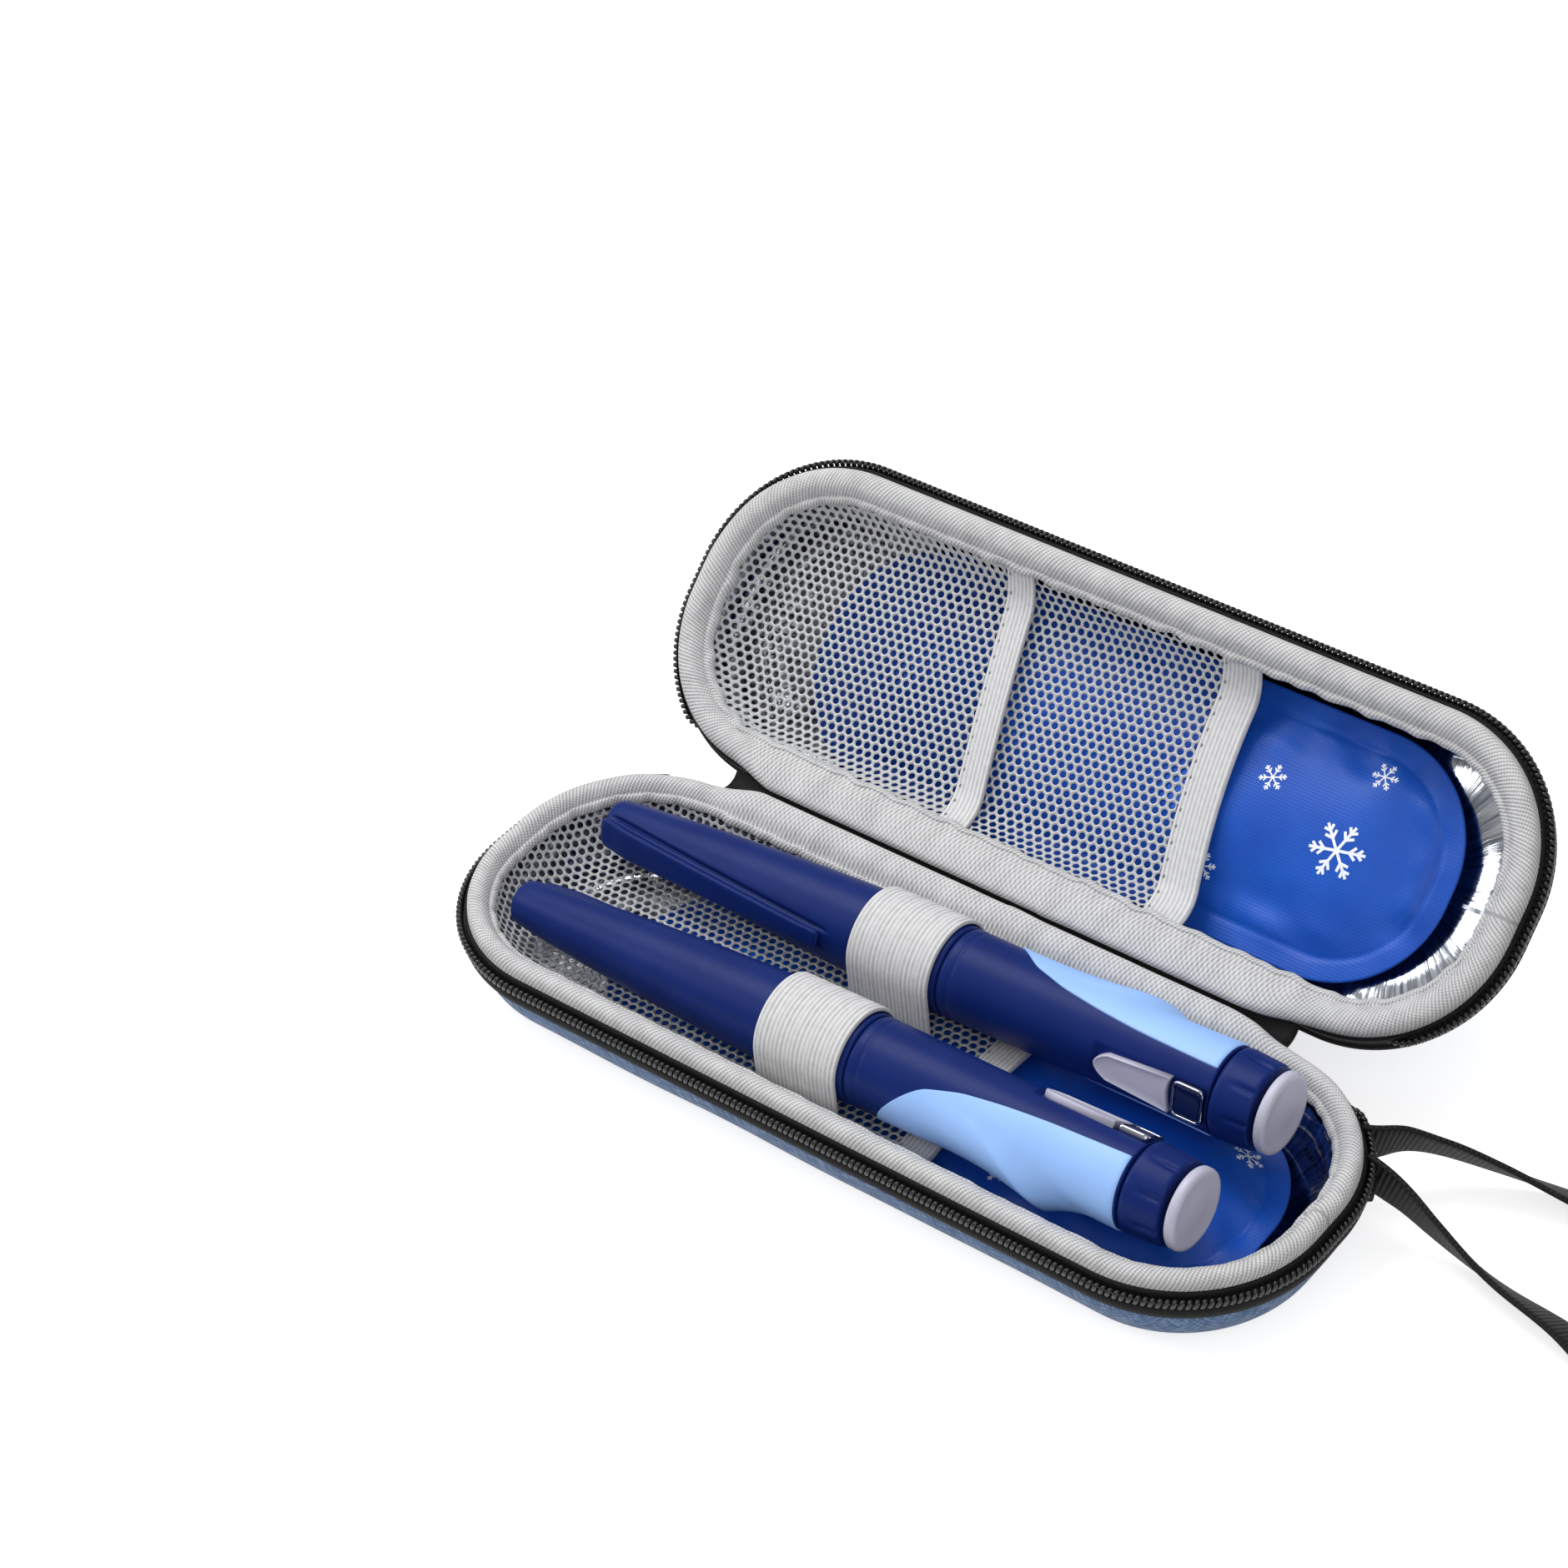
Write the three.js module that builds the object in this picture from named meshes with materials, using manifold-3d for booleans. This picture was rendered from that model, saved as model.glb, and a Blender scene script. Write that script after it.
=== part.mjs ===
// Insulin cooling case: a padded, zipped case that holds two insulin pens and two gel packs, open on its hinge.
// Sizes are in millimetres. X runs along the case to the wrist strap, Y from the front to the hinge, Z up.
// The origin is the middle of the base's flat underside.
import * as THREE from "three";
import { mergeVertices } from "three/addons/utils/BufferGeometryUtils.js";
import Module from "manifold-3d";

const wasm = await Module();
wasm.setup();

const GAP = 0.3;

// Plan of the grey rim, and the padded wall under it.
const RIM_LENGTH = 200;
const RIM_WIDTH = 68;
const RIM_CORNER = 30.3;
const HALF_DEPTH = 21;
const SEAM_DROP = 7.6;
const SEAM_INSET = 0.7;
const ROUND_INSET = 10.3;
const ROUND_POWER = 2.3;
const COVER_WALL = 0.8;
const FOAM_WALL = 2;
const FOIL_WALL = 0.5;
const CORNER_STEPS = 6;

// The flat that the base stands on, set in from the rim outline.
const STAND_SIDE_ROOM = 16;
const STAND_END_ROOM = 40;
const STAND_PROUD = 0.3;

// Rim binding, zip tape and coil, as distances from the rim outline and from the rim plane.
const BINDING_WIDTH = 6.2;
const BINDING_DROP = 5;
const BINDING_SETBACK = 0.6;
const BINDING_SHOULDER = 1.2;
const TAPE_TOP = 2.8;
const TAPE_WALL = 0.9;
const COIL_WIDTH = 1.4;
const COIL_TOP = 3.3;
const COIL_DROP = 5.6;
const ZIP_END = 65;

// Hinge between the halves, and how far the lid stands open.
const HINGE_SETBACK = 2.3;
const HINGE_RISE = 1.5;
const HINGE_LENGTH = 136;
const HINGE_WALL = 0.9;
const HINGE_STEPS = 6;
const LID_OPEN = 138.85;

// Zip slider and pull on the base's coil, at the hidden left end of the hinge.
const SLIDER_FROM = 117;
const SLIDER_TO = 127;
const SLIDER_WALL = 0.5;
const PULL_OFFSET = 2.4;
const PULL_PIN = 0.6;
const PULL_EYE = 1.5;
const PULL_LENGTH = 11;
const PULL_WIDTH = 6;
const PULL_WALL = 1.2;

// Mesh pockets and their elastic hems.
const NET_WALL = 0.7;
const NET_CLEARANCE = 0.4;
const NET_EDGE = 0.8;
const HEM_WALL = 1;
const NET_PITCH_X = 15;
const NET_PITCH_Y = 12.4;
const NET_OPEN = 0.78;
const NET_MARGIN = 1.6;
const BASE_NET_END = 17;
const BASE_HEM_WIDTH = 8.2;
const LID_DEEP_END = 22;
const LID_DEEP_HEM = 9.2;
const LID_SHORT_END = -29;
const LID_SHORT_HEM = 7;

// Gel packs.
const PACK_LENGTH = 153;
const PACK_SIDE_ROOM = 8;
const PACK_CORNER = 24;
const PACK_FLANGE = 5;
const PACK_FILM = 0.4;
const PACK_BELLY = 1.1;
const PACK_SLACK = 0.85;
const BASE_PACK_X = 9.5;
const LID_PACK_X = 4;
const BASE_PACK_THIN = 2.5;
const BASE_PACK_CROWN = 6.4;
const BASE_PACK_RAMP = [28, 54];
const LID_PACK_CROWN = 3.3;

// Insulin pens, with distances measured along the pen from the tip of its cap.
const PEN_TIP_X = -84.2;
const PEN_SIDE_ROOM = 19;
const PEN_TILT = 2.1;
const FRONT_TURN = { badge: -43, clip: -110 };
const BACK_TURN = { badge: 77, clip: 75 };
const CAP_LENGTH = 89.3;
const CAP_RADIUS = 9.5;
const SPIGOT_LENGTH = 9;
const SPIGOT_RADIUS = 7.5;
const BARREL_END = 152.7;
const BORE_RADIUS = 5.6;
const GRIP_CORE = 7.6;
const GRIP_PROUD = 0.25;
const GRIP_SPARE = 0.5;
const GRIP_HUMP = 2.9;
const GRIP_CUSP = 136;
const GRIP_COLUMNS = 9;
const BADGE_FROM = 127;
const BADGE_TO = 144.8;
const BADGE_HALF = 3.9;
const FLAT_HEIGHT = 8;
const TRIM_WALL = 1.3;
const WINDOW_FROM = 145.2;
const WINDOW_TO = 152.2;
const WINDOW_FRAME = 1;
const KNOB_END = 161.6;
const KNOB_RADIUS = 9.25;
const KNOB_TAPER = 0.5;
const KNOB_GROOVES = 8;
const BUTTON_GAP = 1.3;
const BUTTON_RADIUS = 8.4;
const PEN_LENGTH = 165;
const STEM_RADIUS = 2.8;
const STEM_LENGTH = 5.6;
const SLEEVE_WALL = 1;
const SLEEVE_FROM = 122;
const DRIVE_FROM = 118;
const DRIVE_SETBACK = 2.7;
const HOLDER_FROM = 41;
const CARTRIDGE_RADIUS = 5;
const CARTRIDGE_FROM = 43;
const CARTRIDGE_TO = 112;
const HOLDER_WALL = 0.7;
const ROD_RADIUS = 1.8;
const ROD_SETBACK = 1.7;
const CLIP_TO = 60.7;
const CLIP_WIDTH = 5.4;
const CLIP_WALL = 1.5;

// Elastic pen loops.
const LOOP_LENGTH = 20;
const LOOP_X = -6;
const LOOP_WALL = 1;
const LOOP_FOOT = 0.6;

// Wrist strap: flat webbing from the right rear corner down to the floor and back, as [x, y, z, lean].
// It stands on edge where it bends and leans over, by degrees to its right, where it runs straight.
const STRAP_WIDTH = 10;
const STRAP_WALL = 1.4;
const STRAP_STEPS = 44;
const ANCHOR_FROM = 20;
const ANCHOR_TO = 53;
const ANCHOR_WALL = 1.4;
const STRAP_ROUTE = [
  [92.97, 27.75, 13.2, 0],
  [97, 32.5, 12.2, 5],
  [103, 36, 10.6, 15],
  [112, 39.8, 7.6, 30],
  [126, 43.5, 4.2, 52],
  [150, 46, 2.4, 72],
  [174, 46.2, 3.6, 55],
  [190, 39.5, 5.1, 20],
  [196, 25.6, 5.3, 0],
  [190, 11.6, 5.1, -20],
  [175, 5.4, 3.6, -55],
  [159, 8.6, 2.4, -72],
  [142.8, 13.6, 3.6, -55],
  [128.1, 16, 4.3, -42],
  [119.5, 17.9, 5.2, -25],
  [111, 19.2, 8, -10],
  [104, 19.9, 11.2, 0],
  [98.4, 20, 13.2, 0],
];

const FINISH = {
  cover: { color: 0x4b6996, roughness: 0.95, metalness: 0 },
  foam: { color: 0x8d9096, roughness: 0.95, metalness: 0 },
  foil: { color: 0xc9ccd2, roughness: 0.3, metalness: 0.85 },
  black: { color: 0x17181b, roughness: 0.85, metalness: 0 },
  binding: { color: 0xc3c3c6, roughness: 0.95, metalness: 0 },
  mesh: { color: 0x9a9da3, roughness: 0.9, metalness: 0 },
  elastic: { color: 0xbcbdc1, roughness: 0.95, metalness: 0 },
  film: { color: 0x234bbe, roughness: 0.5, metalness: 0 },
  gel: { color: 0x6f9be0, roughness: 0.4, metalness: 0 },
  navy: { color: 0x1e2d73, roughness: 0.4, metalness: 0.3 },
  grip: { color: 0x7daaf0, roughness: 0.45, metalness: 0 },
  lilac: { color: 0xb4b6cc, roughness: 0.4, metalness: 0.2 },
  chrome: { color: 0xd9dce2, roughness: 0.15, metalness: 1 },
  lens: { color: 0x202c5c, roughness: 0.1, metalness: 0 },
  white: { color: 0xe8e8ea, roughness: 0.5, metalness: 0 },
  glass: { color: 0xdfeaf2, roughness: 0.05, metalness: 0 },
  steel: { color: 0xb8bbc0, roughness: 0.3, metalness: 1 },
};

const SEAM_Z = HALF_DEPTH - SEAM_DROP;
const WALL_TOP = HALF_DEPTH - BINDING_DROP - GAP;
const FOAM_DEPTH = COVER_WALL + GAP;
const FOIL_DEPTH = FOAM_DEPTH + FOAM_WALL + GAP;
const LINER_DEPTH = FOIL_DEPTH + FOIL_WALL;
const RIM_PLAN = { length: RIM_LENGTH, width: RIM_WIDTH, corner: RIM_CORNER, shift: 0 };
const HINGE_Y = RIM_WIDTH / 2 + HINGE_SETBACK;
const PACK_WIDTH = RIM_WIDTH - 2 * PACK_SIDE_ROOM;
const PEN_Y = RIM_WIDTH / 2 - PEN_SIDE_ROOM;
const HINGE_Z = HALF_DEPTH + HINGE_RISE;
const TAPE_FACE = GAP - SEAM_INSET + TAPE_WALL;
const COIL_INNER = TAPE_FACE + GAP;
const COIL_OUTER = COIL_INNER + COIL_WIDTH;

const rad = THREE.MathUtils.degToRad;
const lerpTable = (table, at) => {
  const above = table.findIndex(([key]) => key >= at);
  if (above === -1) {
    return table[table.length - 1][1];
  }
  if (above === 0) {
    return table[0][1];
  }
  const [lowKey, low] = table[above - 1];
  const [highKey, high] = table[above];
  return low + ((high - low) * (at - lowKey)) / (highKey - lowKey);
};

// One closed surface that faces outwards, with shared corners and no collapsed faces.
function solid(geometry) {
  const loose = geometry.index ? geometry.toNonIndexed() : geometry.clone();
  loose.deleteAttribute("normal");
  loose.deleteAttribute("uv");
  const merged = mergeVertices(loose, 1e-4);
  const corners = merged.index.array;
  const faces = [];
  const [a, b, c] = [new THREE.Vector3(), new THREE.Vector3(), new THREE.Vector3()];
  let volume = 0;
  for (let i = 0; i < corners.length; i += 3) {
    const face = [corners[i], corners[i + 1], corners[i + 2]];
    if (new Set(face).size === 3) {
      faces.push(face);
      a.fromBufferAttribute(merged.attributes.position, face[0]);
      b.fromBufferAttribute(merged.attributes.position, face[1]);
      c.fromBufferAttribute(merged.attributes.position, face[2]);
      volume += a.dot(b.cross(c));
    }
  }
  merged.setIndex(faces.flatMap(([p, q, r]) => (volume < 0 ? [p, r, q] : [p, q, r])));
  merged.computeVertexNormals();
  return merged;
}

function fromArrays(positions, index) {
  const geometry = new THREE.BufferGeometry();
  geometry.setAttribute("position", new THREE.Float32BufferAttribute(positions, 3));
  geometry.setIndex(index);
  return solid(geometry);
}

function toManifold(geometry) {
  const closed = solid(geometry);
  const mesh = new wasm.Mesh({
    numProp: 3,
    vertProperties: closed.attributes.position.array,
    triVerts: new Uint32Array(closed.index.array),
  });
  return new wasm.Manifold(mesh);
}

function fromManifold(body) {
  const mesh = body.getMesh();
  return fromArrays(Array.from(mesh.vertProperties), Array.from(mesh.triVerts));
}

function cut(geometry, cutters) {
  const body = cutters.reduce((left, cutter) => left.subtract(toManifold(cutter)), toManifold(geometry));
  return fromManifold(body);
}

function join(pieces) {
  return fromManifold(pieces.map(toManifold).reduce((sum, piece) => sum.add(piece)));
}

function box(from, to) {
  const size = to.map((high, axis) => high - from[axis]);
  const middle = to.map((high, axis) => (high + from[axis]) / 2);
  return new THREE.BoxGeometry(...size).translate(...middle);
}

// Stations along a rounded plan, counter-clockwise from angle to angle in degrees.
function stationsAlong(plan, from, to) {
  const stations = [];
  for (let quarter = Math.floor(from / 90); 90 * quarter < to; quarter += 1) {
    const start = Math.max(from, 90 * quarter);
    const end = Math.min(to, 90 * quarter + 90);
    const steps = Math.max(1, Math.ceil((CORNER_STEPS * (end - start)) / 90));
    const turn = ((quarter % 4) + 4) % 4;
    const alongX = (turn === 0 || turn === 3 ? 1 : -1) * (plan.length / 2 - plan.corner);
    const alongY = (turn < 2 ? 1 : -1) * (plan.width / 2 - plan.corner);
    for (let step = 0; step <= steps; step += 1) {
      const angle = rad(start + ((end - start) * step) / steps);
      const [cos, sin] = [Math.cos(angle), Math.sin(angle)];
      stations.push({ x: plan.shift + alongX, y: alongY, cos, sin, corner: plan.corner });
    }
  }
  return stations;
}

// The same, all round, with extra stations on the two long sides.
function stationsRound(plan, sideSteps = 1) {
  const stations = stationsAlong(plan, 0, 360);
  const filled = [];
  stations.forEach((station, i) => {
    filled.push(station);
    const next = stations[(i + 1) % stations.length];
    if (Math.abs(next.x - station.x) > 1) {
      for (let step = 1; step < sideSteps; step += 1) {
        filled.push({ ...station, x: station.x + ((next.x - station.x) * step) / sideSteps });
      }
    }
  });
  return filled;
}

function pointAt(station, offset) {
  const reach = station.corner + offset;
  return [station.x + reach * station.cos, station.y + reach * station.sin];
}

// A closed section of [offset, height] carried along the stations.
function sweep(stations, section, closed) {
  const flat = section.map(([u, v]) => new THREE.Vector2(u, v));
  const loop = THREE.ShapeUtils.area(flat) < 0 ? [...section].reverse() : section;
  const around = loop.length;
  const positions = stations.flatMap((station) =>
    loop.flatMap(([offset, z]) => [...pointAt(station, offset), z]),
  );
  const index = [];
  const spans = closed ? stations.length : stations.length - 1;
  for (let i = 0; i < spans; i += 1) {
    const a = i * around;
    const b = ((i + 1) % stations.length) * around;
    for (let j = 0; j < around; j += 1) {
      const k = (j + 1) % around;
      index.push(a + j, b + j, b + k, a + j, b + k, a + k);
    }
  }
  if (!closed) {
    const last = (stations.length - 1) * around;
    const contour = loop.map(([u, v]) => new THREE.Vector2(u, v));
    for (const [p, q, r] of THREE.ShapeUtils.triangulateShape(contour, [])) {
      index.push(p, q, r, last + r, last + q, last + p);
    }
  }
  return fromArrays(positions, index);
}

// A profile of [offset, height, lift] from the underside's inner ring, round the edge, to the top's inner ring.
function cup(stations, profile, swell = () => 0) {
  const around = profile.length;
  const count = stations.length;
  const positions = stations.flatMap((station) =>
    profile.flatMap(([offset, z, lift = 0]) => {
      const [x, y] = pointAt(station, offset);
      return [x, y, z + lift * swell(x)];
    }),
  );
  const index = [];
  for (let i = 0; i < count; i += 1) {
    const a = i * around;
    const b = ((i + 1) % count) * around;
    for (let j = 0; j + 1 < around; j += 1) {
      index.push(a + j, b + j, b + j + 1, a + j, b + j + 1, a + j + 1);
    }
  }
  for (let i = 0; i + 1 < count / 2; i += 1) {
    const ring = [i, i + 1, count - 2 - i, count - 1 - i].map((k) => k * around);
    const [p, q, r, s] = ring;
    const top = around - 1;
    index.push(p, r, q, p, s, r);
    index.push(p + top, q + top, r + top, p + top, r + top, s + top);
  }
  return fromArrays(positions, index);
}

// A turned piece about X from a closed [along, radius] profile.
function turned(profile, segments) {
  const points = [...profile, profile[0]].map(([along, radius]) => new THREE.Vector2(radius, along));
  return solid(new THREE.LatheGeometry(points, segments).rotateZ(-Math.PI / 2));
}

function tube(from, to, inner, outer, segments) {
  return turned([[from, inner], [from, outer], [to, outer], [to, inner]], segments);
}

function plate(shape, from, wall) {
  const geometry = new THREE.ExtrudeGeometry(shape, { depth: wall, bevelEnabled: false, curveSegments: 8 });
  return solid(geometry.translate(0, 0, from));
}

// Turns a plate drawn as a section across the case, [y, z], to run along X.
const alongX = (geometry) => geometry.rotateY(Math.PI / 2).rotateX(Math.PI / 2);

const outline = (points) => new THREE.Shape(points.map(([x, y]) => new THREE.Vector2(x, y)));

function add(parent, name, geometry, finish) {
  const mesh = new THREE.Mesh(geometry, new THREE.MeshStandardMaterial(FINISH[finish]));
  mesh.name = name;
  parent.add(mesh);
}

// The wall's curve at a depth below the cover's face, from the flat underside up to the seam.
function wallCurve(depth, steps) {
  const curve = [];
  for (let step = steps; step >= 0; step -= 1) {
    const turn = ((Math.PI / 2) * step) / steps;
    const inward = (ROUND_INSET - depth) * (1 - Math.cos(turn) ** (2 / ROUND_POWER));
    const down = (SEAM_Z - depth) * Math.sin(turn) ** (2 / ROUND_POWER);
    curve.push([-(SEAM_INSET + depth + inward), SEAM_Z - down]);
  }
  return curve;
}

function shell(depth, wall, steps) {
  const outer = -(SEAM_INSET + depth);
  const profile = [
    ...wallCurve(depth, steps),
    [outer, WALL_TOP],
    [outer - wall, WALL_TOP],
    ...wallCurve(depth + wall, steps).reverse(),
  ];
  return cup(stationsRound(RIM_PLAN), profile);
}

// How far inside the rim outline the liner's face is at a height above the underside.
function linerOffset(height) {
  const side = SEAM_INSET + LINER_DEPTH;
  const down = Math.max(0, (SEAM_Z - height) / (SEAM_Z - LINER_DEPTH));
  const kept = (1 - down ** ROUND_POWER) ** (1 / ROUND_POWER);
  return -(side + (ROUND_INSET - LINER_DEPTH) * (1 - kept));
}

// The base's cover, eased back underneath except on the flat that it stands on.
function standingCover() {
  const [reach, half] = [RIM_LENGTH / 2, RIM_WIDTH / 2];
  const [x, y] = [reach - STAND_END_ROOM, half - STAND_SIDE_ROOM];
  const under = box([-reach, -half, -1], [reach, half, STAND_PROUD]);
  const flat = box([-x, -y, -2], [x, y, 2 * STAND_PROUD]);
  return cut(shell(0, COVER_WALL, 5), [cut(under, [flat])]);
}

function addHalf(parent, prefix, cover, zipFrom) {
  const rim = HALF_DEPTH;
  const binding = [
    [-BINDING_SETBACK, rim - BINDING_DROP],
    [-BINDING_SETBACK, rim - BINDING_SHOULDER],
    [-BINDING_SETBACK - 1, rim - 0.2],
    [-BINDING_WIDTH / 2, rim],
    [-BINDING_WIDTH + 1.4, rim - 0.4],
    [-BINDING_WIDTH + 0.2, rim - 1.8],
    [-BINDING_WIDTH, rim - BINDING_DROP],
  ];
  const inside = GAP - BINDING_SETBACK;
  const tape = [
    [inside, rim - TAPE_TOP],
    [TAPE_FACE, rim - TAPE_TOP],
    [TAPE_FACE, SEAM_Z - 1],
    [TAPE_FACE - TAPE_WALL, SEAM_Z - 1],
    [TAPE_FACE - TAPE_WALL, WALL_TOP - GAP],
    [inside, rim - BINDING_DROP],
  ];
  const coil = [
    [COIL_INNER, rim - COIL_DROP + 0.5],
    [COIL_INNER, rim - COIL_TOP - 0.6],
    [COIL_INNER + 0.5, rim - COIL_TOP],
    [COIL_OUTER - 0.5, rim - COIL_TOP],
    [COIL_OUTER, rim - COIL_TOP - 0.6],
    [COIL_OUTER, rim - COIL_DROP + 0.5],
    [COIL_OUTER - 0.7, rim - COIL_DROP],
  ];
  const round = stationsRound(RIM_PLAN);
  const zipped = stationsAlong(RIM_PLAN, zipFrom, zipFrom + 180 + 2 * ZIP_END);
  add(parent, `${prefix}_outer_cover`, cover, "cover");
  add(parent, `${prefix}_foam_shell`, shell(FOAM_DEPTH, FOAM_WALL, 3), "foam");
  add(parent, `${prefix}_foil_liner`, shell(FOIL_DEPTH, FOIL_WALL, 3), "foil");
  add(parent, `${prefix}_rim_binding`, sweep(round, binding, true), "binding");
  add(parent, `${prefix}_zip_tape`, sweep(round, tape, true), "black");
  add(parent, `${prefix}_zip_coil`, sweep(zipped, coil, false), "black");
}

// A mesh pocket: a flat plate from the left end to a straight edge, pierced by rows of staggered diamonds.
function netPlate(right, underside) {
  const offset = linerOffset(underside) - NET_EDGE;
  const [reach, half] = [RIM_LENGTH / 2 + offset, RIM_WIDTH / 2 + offset];
  const corner = RIM_CORNER + offset;
  const [cx, cy] = [RIM_LENGTH / 2 - RIM_CORNER, RIM_WIDTH / 2 - RIM_CORNER];
  const shape = new THREE.Shape();
  shape.moveTo(right, -half);
  shape.lineTo(-cx, -half);
  shape.absarc(-cx, -cy, corner, 1.5 * Math.PI, Math.PI, true);
  shape.lineTo(-reach, cy);
  shape.absarc(-cx, cy, corner, Math.PI, Math.PI / 2, true);
  shape.lineTo(right, half);
  const isInside = (x, y) => {
    const [dx, dy] = [Math.max(0, -cx - x), Math.max(0, Math.abs(y) - cy)];
    return Math.hypot(dx, dy) < corner - NET_MARGIN && x < right - NET_MARGIN / 2;
  };
  const [hx, hy] = [(NET_PITCH_X / 2) * NET_OPEN, (NET_PITCH_Y / 2) * NET_OPEN];
  for (let column = 0; column * NET_PITCH_X < 2 * (right + reach); column += 1) {
    const x = right - NET_MARGIN - hx - (column * NET_PITCH_X) / 2;
    for (let row = -3; row <= 3; row += 1) {
      const y = (row + (column % 2) / 2) * NET_PITCH_Y;
      const diamond = [[x - hx, y], [x, y - hy], [x + hx, y], [x, y + hy]];
      if (diamond.every(([px, py]) => isInside(px, py))) {
        shape.holes.push(new THREE.Path(diamond.map(([px, py]) => new THREE.Vector2(px, py))));
      }
    }
  }
  return plate(shape, underside, NET_WALL);
}

function hem(from, width, underside) {
  const half = RIM_WIDTH / 2 + linerOffset(underside) - NET_EDGE;
  return box([from + GAP, -half, underside], [from + GAP + width, half, underside + HEM_WALL]);
}

// A pillow-shaped pouch: a flat welded flange, a shallow back and a domed front. Returns the height of its top.
function addPack(parent, prefix, shift, sideSteps, swell, crown) {
  const plan = { length: PACK_LENGTH, width: PACK_WIDTH, corner: PACK_CORNER, shift };
  const stations = stationsRound(plan, sideSteps);
  const insets = [0, PACK_FLANGE, PACK_FLANGE + 4.5, PACK_CORNER - 2];
  const inner = PACK_CORNER - 2 - PACK_FLANGE;
  const rise = (inset) => Math.sin((Math.PI / 2) * Math.max(0, (inset - PACK_FLANGE) / inner)) ** 0.8;
  const middle = LINER_DEPTH + GAP + PACK_FILM + PACK_BELLY + GAP / 2;
  const front = middle + GAP / 2;
  const back = middle - GAP / 2;
  const outwards = [...insets].reverse();
  const sag = (inset) => back - PACK_BELLY * rise(inset);
  const frontFilm = [
    ...outwards.map((inset) => [-inset, front, rise(inset)]),
    ...insets.map((inset) => [-inset, front + PACK_FILM, rise(inset)]),
  ];
  const backFilm = [
    ...outwards.map((inset) => [-inset, sag(inset) - PACK_FILM]),
    ...insets.map((inset) => [-inset, sag(inset)]),
  ];
  const filled = insets.slice(2);
  const gel = [
    ...[...filled].reverse().map((inset) => [-inset, sag(inset) + GAP]),
    ...filled.map((inset) => [-inset, front - PACK_SLACK, rise(inset)]),
  ];
  add(parent, `${prefix}_pack_back_film`, cup(stations, backFilm), "film");
  add(parent, `${prefix}_pack_gel`, cup(stations, gel, swell), "gel");
  add(parent, `${prefix}_pack_front_film`, cup(stations, frontFilm, swell), "film");
  return front + PACK_FILM + crown;
}

const CAP_PROFILE = [
  [0, 3.4],
  [0.7, 4.4],
  [2.5, 5],
  [15, 6.2],
  [30, 7.3],
  [45, 8.2],
  [60, 9],
  [75, CAP_RADIUS - 0.1],
  [CAP_LENGTH, CAP_RADIUS],
];
const BARREL_PROFILE = [
  [CAP_LENGTH + GAP, CAP_RADIUS - 0.1],
  [110, CAP_RADIUS - 0.4],
  [130, CAP_RADIUS - 0.6],
  [145, CAP_RADIUS - 0.5],
  [BARREL_END, CAP_RADIUS - 0.3],
];
// Half the angle that the grip covers, from the side opposite the badge.
const GRIP_SPREAD = [
  [97, 22],
  [98.5, 38],
  [101, 55],
  [104, 71],
  [107, 84],
  [115, 100],
  [124, 108],
  [131, 113],
  [GRIP_CUSP, 115],
  [139, 115.5],
  [146, 117],
  [BARREL_END - GAP, 118],
];

function gripHump(along) {
  const up = THREE.MathUtils.clamp((along - 112) / (GRIP_CUSP - 112), 0, 1);
  const down = THREE.MathUtils.clamp((146 - along) / (146 - GRIP_CUSP), 0, 1);
  return GRIP_HUMP * (along < GRIP_CUSP ? up ** 2 : down ** 2);
}

function gripFace(along, angle) {
  const lift = gripHump(along) * Math.max(0, Math.cos(angle)) ** 1.5;
  return lerpTable(BARREL_PROFILE, along) + GRIP_PROUD + lift;
}

// A curved leaf over the grip's outline, between an inner radius and an outer face.
function saddle(inner, spare, outerAt) {
  const rows = GRIP_SPREAD.map(([along, spread], row) => {
    const end = row === 0 ? -spare : row === GRIP_SPREAD.length - 1 ? 4 * spare : 0;
    return [along + end, spread + (spare * 180) / (Math.PI * inner)];
  });
  const across = GRIP_COLUMNS + 1;
  const positions = [];
  for (const [along, spread] of rows) {
    for (let column = 0; column < across; column += 1) {
      const angle = rad(spread * ((2 * column) / GRIP_COLUMNS - 1));
      for (const radius of [outerAt(along, angle), inner]) {
        positions.push(along, radius * Math.sin(angle), -radius * Math.cos(angle));
      }
    }
  }
  const at = (row, column, side) => 2 * (row * across + column) + side;
  const index = [];
  const quad = (p, q, r, s) => index.push(p, q, r, p, r, s);
  for (let row = 0; row + 1 < rows.length; row += 1) {
    for (let column = 0; column < GRIP_COLUMNS; column += 1) {
      const corners = [[row, column], [row, column + 1], [row + 1, column + 1], [row + 1, column]];
      quad(...corners.map(([r, c]) => at(r, c, 0)));
      quad(...corners.map(([r, c]) => at(r, c, 1)).reverse());
    }
    quad(at(row, 0, 1), at(row, 0, 0), at(row + 1, 0, 0), at(row + 1, 0, 1));
    const edge = GRIP_COLUMNS;
    quad(at(row, edge, 0), at(row, edge, 1), at(row + 1, edge, 1), at(row + 1, edge, 0));
  }
  const end = rows.length - 1;
  for (let column = 0; column < GRIP_COLUMNS; column += 1) {
    quad(at(0, column, 1), at(0, column + 1, 1), at(0, column + 1, 0), at(0, column, 0));
    quad(at(end, column, 0), at(end, column + 1, 0), at(end, column + 1, 1), at(end, column, 1));
  }
  return fromArrays(positions, index);
}

function capSolid() {
  const hollow = [
    [CAP_LENGTH, SPIGOT_RADIUS + 0.5],
    [66, SPIGOT_RADIUS],
    [46, 6.8],
    [38, 6.4],
    [38, 0],
  ];
  return turned([[0, 0], ...CAP_PROFILE, ...hollow], 18);
}

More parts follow.
